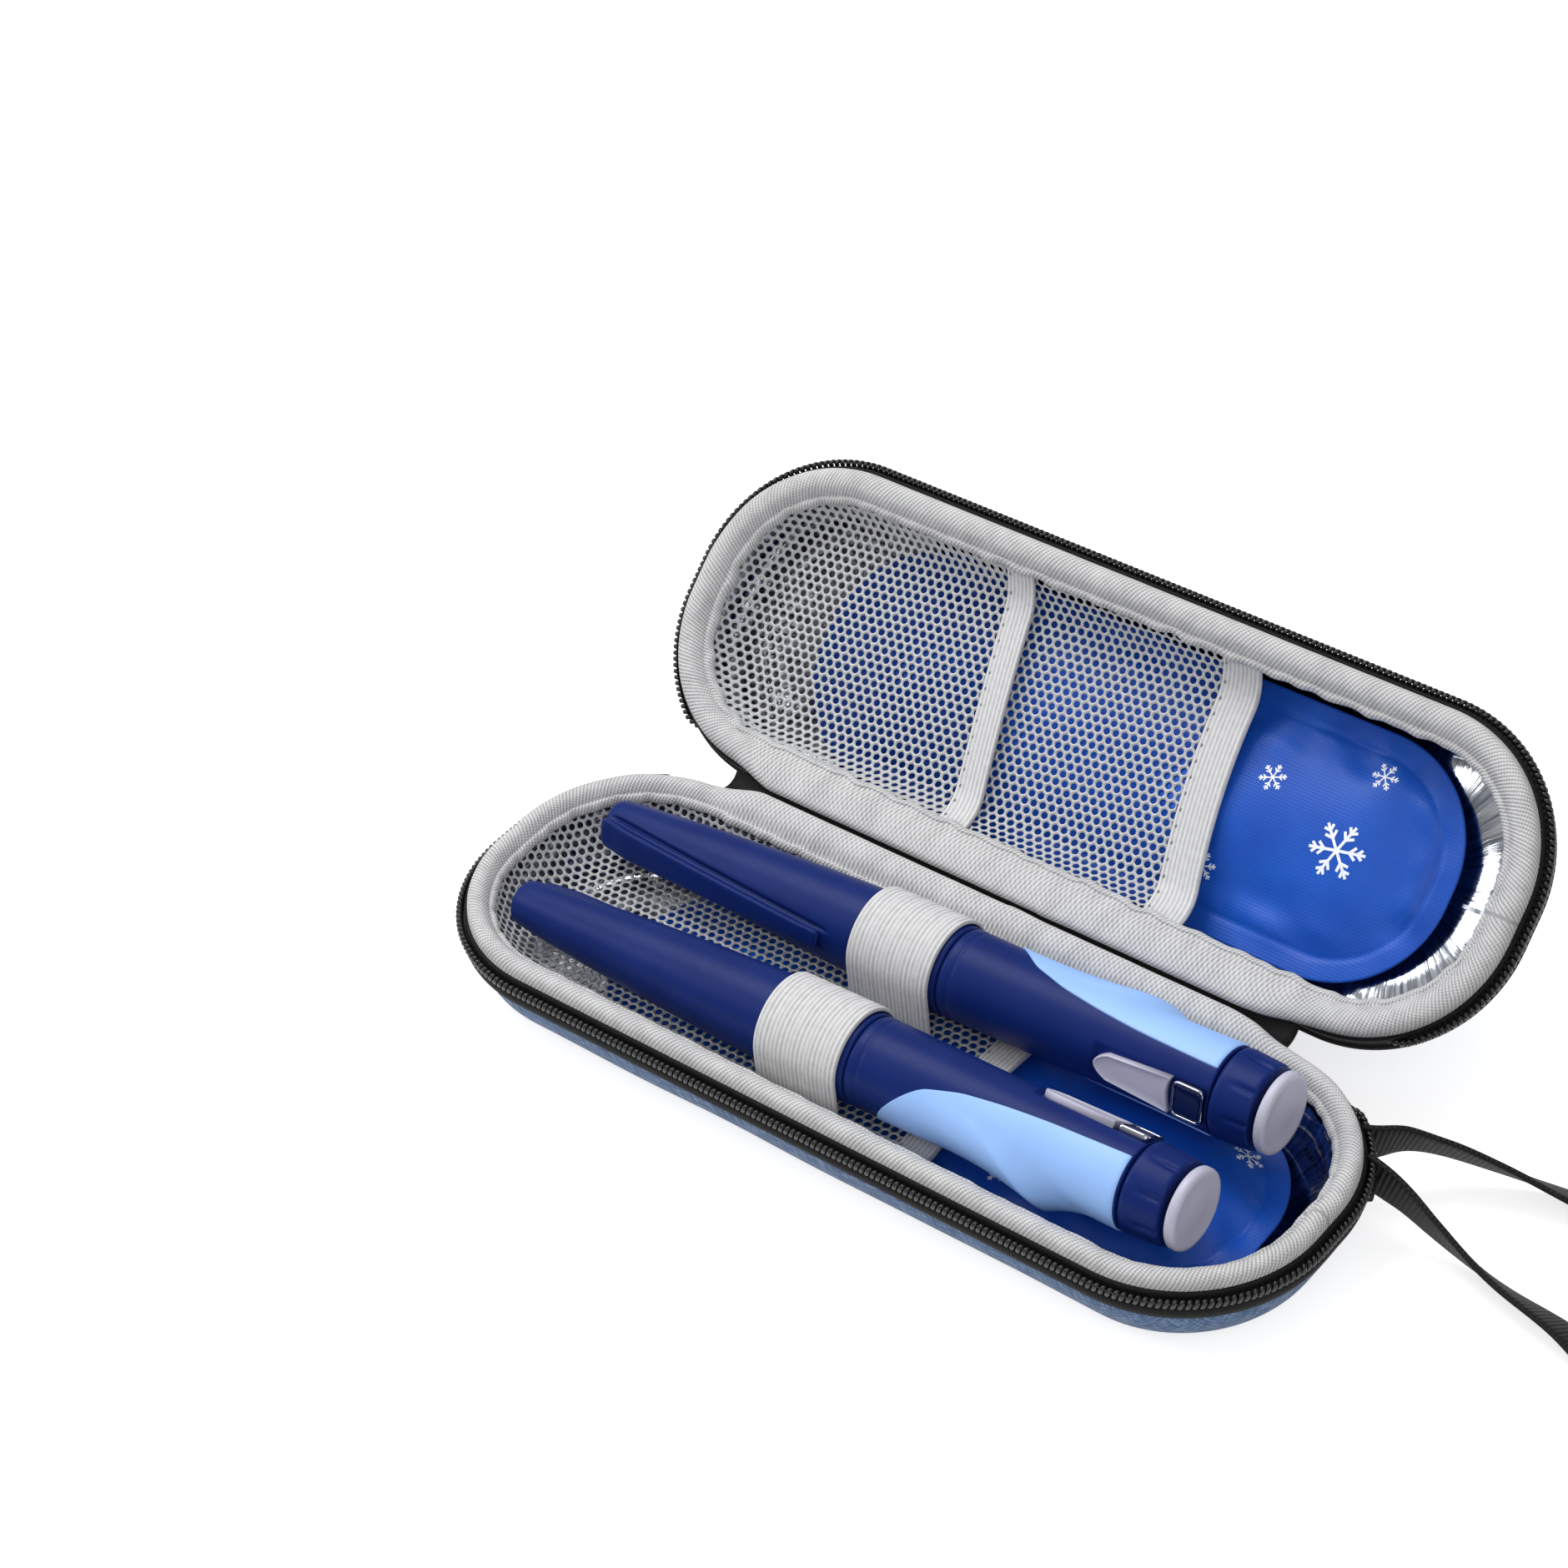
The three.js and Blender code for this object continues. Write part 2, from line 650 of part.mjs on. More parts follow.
function clipSolid() {
  const under = [2.2, 15, 30, 45, CLIP_TO - 3].map((along) => [along, lerpTable(CAP_PROFILE, along) + 0.7]);
  under[0][1] -= 0.3;
  const toe = [[CLIP_TO, lerpTable(CAP_PROFILE, CLIP_TO) + 0.4]];
  const back = [...under].reverse().map(([along, height]) => [along, height + CLIP_WALL]);
  const shape = outline([...under, ...toe, [CLIP_TO, toe[0][1] + 1], ...back]);
  return plate(shape, -CLIP_WIDTH / 2, CLIP_WIDTH).rotateX(Math.PI / 2);
}

function barrelSolid() {
  const tail = BARREL_PROFILE[0][0];
  const start = tail - SPIGOT_LENGTH;
  const profile = [
    [start, BORE_RADIUS],
    [start, SPIGOT_RADIUS],
    [tail, SPIGOT_RADIUS],
    ...BARREL_PROFILE,
    [BARREL_END, BORE_RADIUS],
  ];
  const ledge = WINDOW_FRAME + 1.1;
  return cut(turned(profile, 20), [
    saddle(GRIP_CORE - GAP, GRIP_SPARE, (along, angle) => gripFace(along, angle) + 1),
    box([BADGE_FROM - GAP, -CAP_RADIUS, FLAT_HEIGHT], [WINDOW_TO + GAP, CAP_RADIUS, CAP_RADIUS + 5]),
    box([WINDOW_FROM + ledge, -BADGE_HALF + ledge, 2], [WINDOW_TO - ledge, BADGE_HALF - ledge, CAP_RADIUS]),
  ]);
}

function badgeSolid() {
  const half = BADGE_HALF;
  const shape = new THREE.Shape();
  shape.moveTo(BADGE_TO, -half);
  shape.quadraticCurveTo(BADGE_TO - 1.6, 0, BADGE_TO, half);
  shape.lineTo(BADGE_FROM + 3, half * 0.72);
  shape.quadraticCurveTo(BADGE_FROM - 0.4, 0, BADGE_FROM + 3, -half * 0.72);
  return plate(shape, FLAT_HEIGHT + GAP, TRIM_WALL);
}

function frameShape(inset) {
  const half = BADGE_HALF - inset;
  const [from, to] = [WINDOW_FROM + inset, WINDOW_TO - inset];
  return [[from, -half], [to, -half], [to, half], [from, half]];
}

function knobSolid() {
  const start = BARREL_END + GAP + 0.2;
  const bore = STEM_RADIUS + GAP;
  const bottom = KNOB_END + BUTTON_GAP - STEM_LENGTH - BUTTON_GAP;
  const profile = [
    [start, 0],
    [start, KNOB_RADIUS - 0.4],
    [start + 0.5, KNOB_RADIUS],
    [KNOB_END - 0.5, KNOB_RADIUS - KNOB_TAPER + 0.1],
    [KNOB_END, KNOB_RADIUS - KNOB_TAPER - 0.4],
    [KNOB_END, bore],
    [bottom, bore],
    [bottom, 0],
  ];
  const grooves = [];
  for (let groove = 0; groove < KNOB_GROOVES; groove += 1) {
    const vee = box([start + 1.6, -0.6, -0.6], [KNOB_END - 1.4, 0.6, 0.6]).rotateX(Math.PI / 4);
    grooves.push(vee.translate(0, 0, KNOB_RADIUS - 0.1).rotateX((2 * Math.PI * groove) / KNOB_GROOVES));
  }
  return cut(turned(profile, 16), grooves);
}

function buttonSolid() {
  const under = KNOB_END + BUTTON_GAP;
  return turned(
    [
      [under - STEM_LENGTH, 0],
      [under - STEM_LENGTH, STEM_RADIUS],
      [under, STEM_RADIUS],
      [under, BUTTON_RADIUS - 0.3],
      [under + 0.4, BUTTON_RADIUS],
      [PEN_LENGTH - 0.6, BUTTON_RADIUS],
      [PEN_LENGTH, BUTTON_RADIUS - 0.7],
      [PEN_LENGTH, 0],
    ],
    16,
  );
}

function addPen(root, prefix, y, tipZ, turn) {
  const axis = new THREE.Group();
  axis.position.set(PEN_TIP_X, y, tipZ);
  axis.rotation.y = -rad(PEN_TILT);
  root.add(axis);
  const body = new THREE.Group();
  body.rotation.x = rad(turn.badge);
  axis.add(body);
  const cap = new THREE.Group();
  cap.rotation.x = rad(turn.clip);
  axis.add(cap);
  const spigot = CAP_LENGTH + GAP - SPIGOT_LENGTH;
  const holder = CARTRIDGE_RADIUS + GAP;
  const number = BORE_RADIUS - GAP;
  const drive = number - SLEEVE_WALL - GAP;
  const window = outline(frameShape(0));
  window.holes.push(new THREE.Path(frameShape(WINDOW_FRAME).map(([u, v]) => new THREE.Vector2(u, v))));
  add(cap, `${prefix}_cap`, capSolid(), "navy");
  add(cap, `${prefix}_cap_clip`, clipSolid(), "navy");
  add(body, `${prefix}_barrel`, barrelSolid(), "navy");
  add(body, `${prefix}_grip`, saddle(GRIP_CORE, 0, gripFace), "grip");
  add(body, `${prefix}_badge`, badgeSolid(), "lilac");
  add(body, `${prefix}_window_bezel`, plate(window, FLAT_HEIGHT + GAP, TRIM_WALL), "chrome");
  const lens = plate(outline(frameShape(WINDOW_FRAME + GAP)), FLAT_HEIGHT + GAP, TRIM_WALL - 0.2);
  add(body, `${prefix}_dose_window`, lens, "lens");
  const numbers = tube(SLEEVE_FROM, BARREL_END, number - SLEEVE_WALL, number, 12);
  add(body, `${prefix}_number_sleeve`, numbers, "white");
  const driver = tube(DRIVE_FROM, BARREL_END - DRIVE_SETBACK, ROD_RADIUS + GAP, drive, 10);
  add(body, `${prefix}_drive_sleeve`, driver, "white");
  add(body, `${prefix}_dose_knob`, knobSolid(), "navy");
  add(body, `${prefix}_push_button`, buttonSolid(), "lilac");
  const sheath = tube(HOLDER_FROM, spigot - GAP, holder, holder + HOLDER_WALL, 12);
  add(body, `${prefix}_cartridge_holder`, sheath, "white");
  const cartridge = [
    [CARTRIDGE_FROM, 0],
    [CARTRIDGE_FROM, CARTRIDGE_RADIUS],
    [CARTRIDGE_TO, CARTRIDGE_RADIUS],
    [CARTRIDGE_TO, 0],
  ];
  add(body, `${prefix}_cartridge`, turned(cartridge, 12), "glass");
  const [rodFrom, rodTo] = [CARTRIDGE_TO + GAP, BARREL_END - ROD_SETBACK];
  const rod = [[rodFrom, 0], [rodFrom, ROD_RADIUS], [rodTo, ROD_RADIUS], [rodTo, 0]];
  add(body, `${prefix}_piston_rod`, turned(rod, 8), "steel");
}

// An elastic loop: an arch over the pen, with straight sides down to a flat foot on the mesh.
function addLoop(root, name, y, axisZ, bore) {
  const outer = bore + LOOP_WALL;
  const shape = new THREE.Shape();
  shape.moveTo(outer, -bore - LOOP_FOOT);
  shape.lineTo(outer, 0);
  shape.absarc(0, 0, outer, 0, Math.PI, false);
  shape.lineTo(-outer, -bore - LOOP_FOOT);
  const hole = new THREE.Path();
  hole.absarc(0, 0, bore, 0, 2 * Math.PI, true);
  shape.holes.push(hole);
  const geometry = alongX(plate(shape, -LOOP_LENGTH / 2, LOOP_LENGTH));
  const loop = new THREE.Group();
  loop.position.set(LOOP_X, y, axisZ);
  loop.rotation.y = -rad(PEN_TILT);
  root.add(loop);
  add(loop, name, geometry, "elastic");
}

// The slider's C-shaped body round the coil, with two ears and a pin under it for the pull.
function addZipSlider(root) {
  const rim = HALF_DEPTH;
  const [low, high] = [rim - COIL_DROP - GAP, rim - COIL_TOP + GAP];
  const side = COIL_OUTER + GAP;
  const section = [
    [COIL_INNER, high + SLIDER_WALL],
    [COIL_OUTER - 0.4, high + SLIDER_WALL],
    [side + SLIDER_WALL, high - 0.6],
    [side + SLIDER_WALL, low - SLIDER_WALL],
    [COIL_INNER, low - SLIDER_WALL],
    [COIL_INNER, low],
    [side, low],
    [side, high - 0.8],
    [COIL_OUTER - 0.5, high],
    [COIL_INNER, high],
  ];
  const block = sweep(stationsAlong(RIM_PLAN, SLIDER_FROM, SLIDER_TO), section, false);
  const middle = rad((SLIDER_FROM + SLIDER_TO) / 2);
  const centre = [-(RIM_LENGTH / 2 - RIM_CORNER), RIM_WIDTH / 2 - RIM_CORNER];
  const place = (geometry) => geometry.rotateZ(middle).translate(centre[0], centre[1], 0);
  const pinAt = RIM_CORNER + PULL_OFFSET;
  const pinZ = low - SLIDER_WALL - PULL_EYE - GAP;
  const ears = [-1, 1].map((turn) => {
    const near = turn * 2.5;
    return box(
      [pinAt - 0.8, Math.min(near, near - turn * 0.8), pinZ - 0.9],
      [pinAt + 0.8, Math.max(near, near - turn * 0.8), low - SLIDER_WALL / 2],
    );
  });
  const pin = new THREE.CylinderGeometry(PULL_PIN, PULL_PIN, 4.2, 8).translate(pinAt, 0, pinZ);
  add(root, "zip_slider", join([block, ...ears.map(place), place(pin)]), "black");
  const eye = new THREE.Shape();
  eye.absarc(0, 0, PULL_EYE, 0, 2 * Math.PI, false);
  const hole = new THREE.Path();
  hole.absarc(0, 0, PULL_PIN + GAP, 0, 2 * Math.PI, true);
  eye.holes.push(hole);
  const ring = plate(eye, -1.3, 2.6).rotateX(Math.PI / 2).translate(pinAt, 0, pinZ);
  const neck = box(
    [pinAt - PULL_WALL / 2, -1.3, pinZ - PULL_EYE - 2],
    [pinAt + PULL_WALL / 2, 1.3, pinZ - PULL_EYE + 0.3],
  );
  const tab = box(
    [pinAt - PULL_WALL / 2, -PULL_WIDTH / 2, pinZ - PULL_LENGTH],
    [pinAt + PULL_WALL / 2, PULL_WIDTH / 2, pinZ - PULL_EYE - 1.6],
  );
  add(root, "zip_pull", place(join([ring, neck, tab])), "black");
}

// Fabric gutter along the hinge: a band bent round under the axis, from the base's binding to the lid's.
function addHingeStrip(root) {
  const [across, down] = [HINGE_SETBACK + BINDING_SETBACK, HINGE_RISE + BINDING_SHOULDER];
  const reach = Math.hypot(across, down) - GAP;
  const from = Math.atan2(-down, -across);
  const to = Math.atan2(-down, across) + rad(180 - LID_OPEN);
  const bend = (radius) =>
    Array.from({ length: HINGE_STEPS + 1 }, (_, step) => {
      const angle = from + ((to - from) * step) / HINGE_STEPS;
      return [HINGE_Y + radius * Math.cos(angle), HINGE_Z + radius * Math.sin(angle)];
    });
  const section = [...bend(reach), ...bend(reach - HINGE_WALL).reverse()];
  const strip = plate(outline(section), -HINGE_LENGTH / 2, HINGE_LENGTH);
  add(root, "hinge_strip", alongX(strip), "black");
}

// The tab that the strap is sewn to, and the webbing along its curve.
function addStrap(root) {
  const [low, high] = [SEAM_Z - 1, HALF_DEPTH - COIL_DROP - GAP - 0.1];
  const face = TAPE_FACE + GAP;
  const anchor = [[face, high], [face + ANCHOR_WALL, high], [face + ANCHOR_WALL, low], [face, low]];
  add(root, "strap_anchor", sweep(stationsAlong(RIM_PLAN, ANCHOR_FROM, ANCHOR_TO), anchor, false), "black");
  const route = new THREE.CatmullRomCurve3(STRAP_ROUTE.map(([x, y, z]) => new THREE.Vector3(x, y, z)), false);
  const leans = STRAP_ROUTE.map(([, , , lean], i) => [i / (STRAP_ROUTE.length - 1), lean]);
  const positions = [];
  const index = [];
  for (let step = 0; step <= STRAP_STEPS; step += 1) {
    const share = step / STRAP_STEPS;
    const point = route.getPointAt(share);
    const along = route.getTangentAt(share).setZ(0).normalize();
    const lean = rad(lerpTable(leans, route.getUtoTmapping(share)));
    for (const [side, up] of [[-1, -1], [1, -1], [1, 1], [-1, 1]]) {
      const [wide, thick] = [(up * STRAP_WIDTH) / 2, (side * STRAP_WALL) / 2];
      const out = thick * Math.cos(lean) + wide * Math.sin(lean);
      const rise = wide * Math.cos(lean) - thick * Math.sin(lean);
      positions.push(point.x + out * along.y, point.y - out * along.x, point.z + rise);
    }
    if (step > 0) {
      const [a, b] = [4 * (step - 1), 4 * step];
      for (let side = 0; side < 4; side += 1) {
        const next = (side + 1) % 4;
        index.push(a + side, a + next, b + next, a + side, b + next, b + side);
      }
    }
  }
  const last = 4 * STRAP_STEPS;
  index.push(0, 2, 1, 0, 3, 2, last, last + 1, last + 2, last, last + 2, last + 3);
  add(root, "wrist_strap", fromArrays(positions, index), "black");
}

const root = new THREE.Group();
addHalf(root, "base", standingCover(), 180 - ZIP_END);
const basePackTop = addPack(
  root,
  "base",
  BASE_PACK_X,
  7,
  (x) => {
    const share = THREE.MathUtils.smoothstep(x, ...BASE_PACK_RAMP);
    return BASE_PACK_THIN + (BASE_PACK_CROWN - BASE_PACK_THIN) * share;
  },
  BASE_PACK_THIN,
);
const baseNet = basePackTop + GAP;
add(root, "base_mesh_pocket", netPlate(BASE_NET_END, baseNet), "mesh");
add(root, "base_mesh_hem", hem(BASE_NET_END, BASE_HEM_WIDTH, baseNet), "elastic");

// The pens rest in their loops, whose feet stand on the mesh.
const loopBore = CAP_RADIUS + GAP;
const loopDip = (LOOP_LENGTH / 2) * Math.sin(rad(PEN_TILT));
const loopAxisZ = baseNet + NET_WALL + GAP + loopDip + LOOP_FOOT + loopBore;
const tipZ = loopAxisZ - (LOOP_X - PEN_TIP_X) * Math.tan(rad(PEN_TILT));
addLoop(root, "pen_loop_front", -PEN_Y, loopAxisZ, loopBore);
addLoop(root, "pen_loop_back", PEN_Y, loopAxisZ, loopBore);
addPen(root, "front_pen", -PEN_Y, tipZ, FRONT_TURN);
addPen(root, "back_pen", PEN_Y, tipZ, BACK_TURN);
addHingeStrip(root);
addZipSlider(root);
addStrap(root);

const hinge = new THREE.Group();
hinge.position.set(0, HINGE_Y, HINGE_Z);
hinge.rotation.x = rad(180 - LID_OPEN);
root.add(hinge);
const lid = new THREE.Group();
lid.position.set(0, HINGE_Y, -HINGE_Z);
hinge.add(lid);
addHalf(lid, "lid", shell(0, COVER_WALL, 5), -ZIP_END);
const lidPackTop = addPack(lid, "lid", LID_PACK_X, 1, () => LID_PACK_CROWN, LID_PACK_CROWN);
const deepNet = lidPackTop + NET_CLEARANCE;
const shortNet = deepNet + NET_WALL + GAP;
add(lid, "lid_mesh_deep", netPlate(LID_DEEP_END, deepNet), "mesh");
add(lid, "lid_mesh_deep_hem", hem(LID_DEEP_END, LID_DEEP_HEM, deepNet), "elastic");
add(lid, "lid_mesh_short", netPlate(LID_SHORT_END, shortNet), "mesh");
add(lid, "lid_mesh_short_hem", hem(LID_SHORT_END, LID_SHORT_HEM, shortNet), "elastic");

export default root;
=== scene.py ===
"""Insulin cooling case: fabric, zip, nets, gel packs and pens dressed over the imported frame.

Sizes are in millimetres in the case's own frame (X along the case, Y to the hinge, Z up) and become metres
where a mesh is made. The lid is shaped in its own frame, like the base, and swung open about the hinge.
"""
import math

import bmesh
import bpy
import numpy as np
from mathutils import Matrix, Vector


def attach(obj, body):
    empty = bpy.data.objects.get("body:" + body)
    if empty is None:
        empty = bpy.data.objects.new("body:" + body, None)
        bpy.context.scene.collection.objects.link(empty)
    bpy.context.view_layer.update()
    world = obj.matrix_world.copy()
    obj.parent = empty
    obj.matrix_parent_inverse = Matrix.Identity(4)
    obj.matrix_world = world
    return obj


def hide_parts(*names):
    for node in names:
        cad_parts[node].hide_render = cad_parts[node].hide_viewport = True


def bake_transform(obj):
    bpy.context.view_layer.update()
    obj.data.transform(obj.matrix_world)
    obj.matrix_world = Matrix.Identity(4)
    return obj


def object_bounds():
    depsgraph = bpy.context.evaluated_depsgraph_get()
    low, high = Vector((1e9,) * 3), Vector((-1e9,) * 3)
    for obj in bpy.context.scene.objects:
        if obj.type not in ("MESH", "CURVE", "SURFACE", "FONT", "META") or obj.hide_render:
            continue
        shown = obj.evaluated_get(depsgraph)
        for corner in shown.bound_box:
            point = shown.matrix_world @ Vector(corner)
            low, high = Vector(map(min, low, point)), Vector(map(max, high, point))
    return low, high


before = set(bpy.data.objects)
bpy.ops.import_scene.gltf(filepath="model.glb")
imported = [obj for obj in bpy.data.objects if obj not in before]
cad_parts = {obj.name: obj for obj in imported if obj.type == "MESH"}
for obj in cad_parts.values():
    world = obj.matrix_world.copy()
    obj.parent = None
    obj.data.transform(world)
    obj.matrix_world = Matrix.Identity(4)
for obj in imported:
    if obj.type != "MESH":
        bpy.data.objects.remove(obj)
cad_box = [list(corner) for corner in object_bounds()]
MM = 0.001
HALVES = ("base", "lid")

# Rim outline of either half, and the rounded wall below its seam.
RIM_LENGTH, RIM_WIDTH, RIM_CORNER = 200.0, 68.0, 30.3
SEAM_Z, SEAM_INSET = 13.4, 0.7
ROUND_INSET, ROUND_POWER = 10.3, 2.3

# Hinge line, how far the lid stands open, half the hinge's length, and its cloth's bend and two faces.
HINGE_Y, HINGE_Z, LID_OPEN, HINGE_HALF = 36.3, 22.5, 138.85, 68.0
HINGE_BEND, HINGE_RADII = (-112.7, -26.1), (4.36, 3.46)

# Cover and lining: wall, depth under the cover and upper edge, as (offset from the rim, z).
COVER_WALL, COVER_TOP = 0.8, 15.6
LINER_DEPTH, LINER_WALL, LINER_TOP = 3.9, 0.4, (-4.9, 16.0)
# Raised ends of the lining: height, start inside the rim, run, and fall to the wall.
LINER_RISE = {"base": (3.4, 14.0, 6.0, 1.2), "lid": (2.6, 21.0, 10.0, 6.0)}

# Sections round the rim, as (offset from the rim, z): binding, binding along the hinge, tape and tab.
BINDING_SECTION = [
    (-0.45, 15.6), (-0.3, 18.4), (-0.8, 20.3), (-2.4, 21.1), (-4.4, 20.8), (-5.8, 19.6),
    (-6.3, 18.8), (-7.0, 18.9), (-7.7, 18.2), (-7.8, 17.2), (-6.6, 16.3), (-5.0, 15.6),
]
HINGE_SECTION = [
    (0.8, 16.0), (1.8, 18.4), (2.2, 20.4), (1.95, 21.6), (0.6, 22.35), (-3.6, 21.3),
    (-6.3, 18.8), (-7.0, 18.9), (-7.7, 18.2), (-7.8, 17.2), (-6.6, 16.3), (-5.0, 15.6),
]
TAPE_SECTION = [
    (-0.3, 18.1), (0.1, 18.3), (0.45, 17.9), (0.55, 16.8), (0.7, 15.4), (1.35, 14.8),
    (1.5, 13.6), (0.95, 12.2), (0.2, 11.7), (-0.4, 12.4), (-0.38, 15.2), (-0.32, 17),
]
TAB_SECTION = [(0.7, 15.0), (2.1, 15.1), (2.4, 14.4), (2.4, 13.0), (2.0, 12.3), (1.0, 12.3), (0.7, 13.6)]
TAB_TURNS = (20, 53)
# The binding's width inside the rim as a share of the section's, where its ends lap along X, and its seed.
BINDING_WIDTH = {"base": 0.78, "lid": 1.0}
BINDING_JOIN = {"base": 4.0, "lid": 10.0}
BINDING_SEED = {"base": 21, "lid": 23}

# Zip coil: its teeth, its middle, its wire, and where it runs, as turns round the outline.
COIL_PITCH, COIL_OFFSET, COIL_Z = 1.3, 1.5, 16.6
COIL_WIRE = (0.42, 0.52)
COIL_TURNS = {"base": (115.0, 425.0), "lid": (-65.0, 245.0)}

# Net pockets: cells, the edge that rises to the binding's lip, and each pocket's mouth and hem.
NET_PITCH, NET_WALL, NET_HOLE = 2.12, 0.35, (0.37, 0.345)
POCKET_EDGE, POCKET_LIP_Z, MOUTH_HALF = 8.5, 17.3, 30.0
POCKETS = {
    ("base", "mesh_pocket"): dict(level=9.5, end=17.0, hem=8.2, lip=5.4),
    ("lid", "mesh_deep"): dict(level=10.4, end=23.1, hem=9.3, skew=0.12, bow=2.5, lean=0.135),
    ("lid", "mesh_short"): dict(
        level=11.5, end=-29.0, hem=7.0, skew=0.12, bow=0.5, lean=0.19, start=(0.63, -0.05)),
}
HEM_NODES = {
    "mesh_pocket": "base_mesh_hem", "mesh_deep": "lid_mesh_deep_hem", "mesh_short": "lid_mesh_short_hem"}

# Gel packs, and the printed flakes as (x, y, reach, turn).
PACK_LENGTH, PACK_WIDTH, PACK_CORNER, PACK_FLANGE, PACK_FILM = 153.0, 52.0, 24.0, 5.0, 0.2
PACK_EDGE_Z, PACK_X = 6.2, {"base": 9.5, "lid": 4.0}
PACK_SEED = {"base": 42, "lid": 41}
BIG_FLAKE, SMALL_FLAKE, FLAKE_BAR = 6.0, 2.95, 0.05
FLAKES = {
    "lid": [(56.1, -0.2, BIG_FLAKE, 0.2), (36.7, 8.3, SMALL_FLAKE, 0.4), (58.0, 17.1, SMALL_FLAKE, 0.1),
            (30.4, -13.6, SMALL_FLAKE, 0.3)],
    "base": [(72.3, 15.5, SMALL_FLAKE, 0.2), (60, 0, BIG_FLAKE, 0.0), (34.8, -14.5, SMALL_FLAKE, 0.3)],
}

# Pens: tip, tilt, side, and turn of the badge and of the clip about the pen.
PEN_TIP_X, PEN_TIP_Z, PEN_TILT, PEN_Y = -84.2, 18.0985, 2.1, 15.0
PENS = {
    "front": dict(y=-PEN_Y, badge=-43.0, clip=-110.0),
    "back": dict(y=PEN_Y, badge=77.0, clip=75.0),
}
# Turned profiles, as (along the pen, radius): cap's tip and mouth, knob's foot, side and face, and button.
TIP_END, CAP_END, BARREL_START, BARREL_END = 2.5, 89.3, 89.6, 152.7
CAP_TIP = [(0, 0), (0, 3.9), (0.1, 4.25), (0.35, 4.55), (0.9, 4.75), (1.6, 4.88)]
CAP_MOUTH = [
    (CAP_END - 0.15, 9.4), (CAP_END, 9.2), (CAP_END, 7.9), (66, 7.5), (46, 6.8), (38, 6.4), (38, 0)]
KNOB_FOOT = [(153.2, 0), (153.2, 8.8), (153.3, 9.05), (153.7, 9.2)]
KNOB_SIDE = ((154.2, 9.25), (160.9, 8.85))
KNOB_FACE = [(161.3, 8.75), (161.55, 8.55), (161.6, 8.3), (161.6, 3.1), (155.9, 3.1), (155.9, 0)]
BUTTON = [
    (157.4, 0), (157.4, 2.8), (162.8, 2.8), (162.9, 7.9), (162.95, 8.2), (163.2, 8.4), (164.2, 8.4),
    (164.7, 8.25), (164.93, 7.9), (165.0, 7.4), (164.97, 7.0), (164.85, 6.5), (164.8, 4), (164.8, 0),
]
# Smooth tapers through a few radii of the cap and of the barrel.
CAP_TAPER = np.polyfit([TIP_END, 15, 30, 45, 60, 75, CAP_END], [5, 6.2, 7.3, 8.2, 9, 9.4, 9.5], 4)
BARREL_TAPER = np.polyfit([BARREL_START, 110, 130, 145, BARREL_END], [9.4, 9.1, 8.9, 9.0, 9.2], 3)
# How far the grip spreads to either side, in degrees, along the pen.
GRIP_NOSE, GRIP_LENGTH = 96.4, 56.0
GRIP_SPREAD = ([GRIP_NOSE, 97, 98.5, 101, 104, 107, 115, 124, 131, 136, 139, 146, 152.4],
               [0, 25, 43, 62, 80, 94, 109, 117, 121, 123, 123.5, 125, 126])
LOOP_X, LOOP_RADIUS, LOOP_LENGTH, LOOP_DROP = -6.0, 9.9, 20.0, 10.0

# Wrist strap: webbing from the right rear corner and back to it, as (x, y, z, lean in degrees).
STRAP_WIDTH, STRAP_WALL = 10.0, 1.4
STRAP_ROUTE = [
    (90.6, 25.6, 13.6, 0), (92.97, 27.75, 13.2, 12), (97, 32.5, 12.2, 24), (103, 36, 10.6, 32),
    (112, 39.8, 7.6, 34), (126, 43.5, 4.2, 52), (150, 46, 2.4, 72), (174, 46.2, 3.6, 55),
    (190, 39.5, 5.1, 20), (196, 25.6, 5.3, 0), (190, 11.6, 5.1, -20), (175, 5.4, 3.6, -55),
    (159, 8.6, 2.4, -72), (142.8, 13.6, 3.6, -55), (128.1, 16, 4.3, -42), (119.5, 17.9, 5.2, -29),
    (111, 19.2, 8, -19), (104, 19.9, 11.2, -12), (98.4, 20, 13.2, -5), (95.4, 20, 13.8, 0),
]

# Camera: place, and the directions of its right, its up and its back.
CAMERA_PLACE = (375.31, -460.63, 589.07)
CAMERA_RIGHT, CAMERA_UP = (0.7887, 0.6114, -0.0641), (-0.3606, 0.5446, 0.7572)
CAMERA_BACK = (0.4979, -0.5742, 0.6500)
CAMERA_LENS, CAMERA_SENSOR = 95.74, 36.0


# Shared shapes


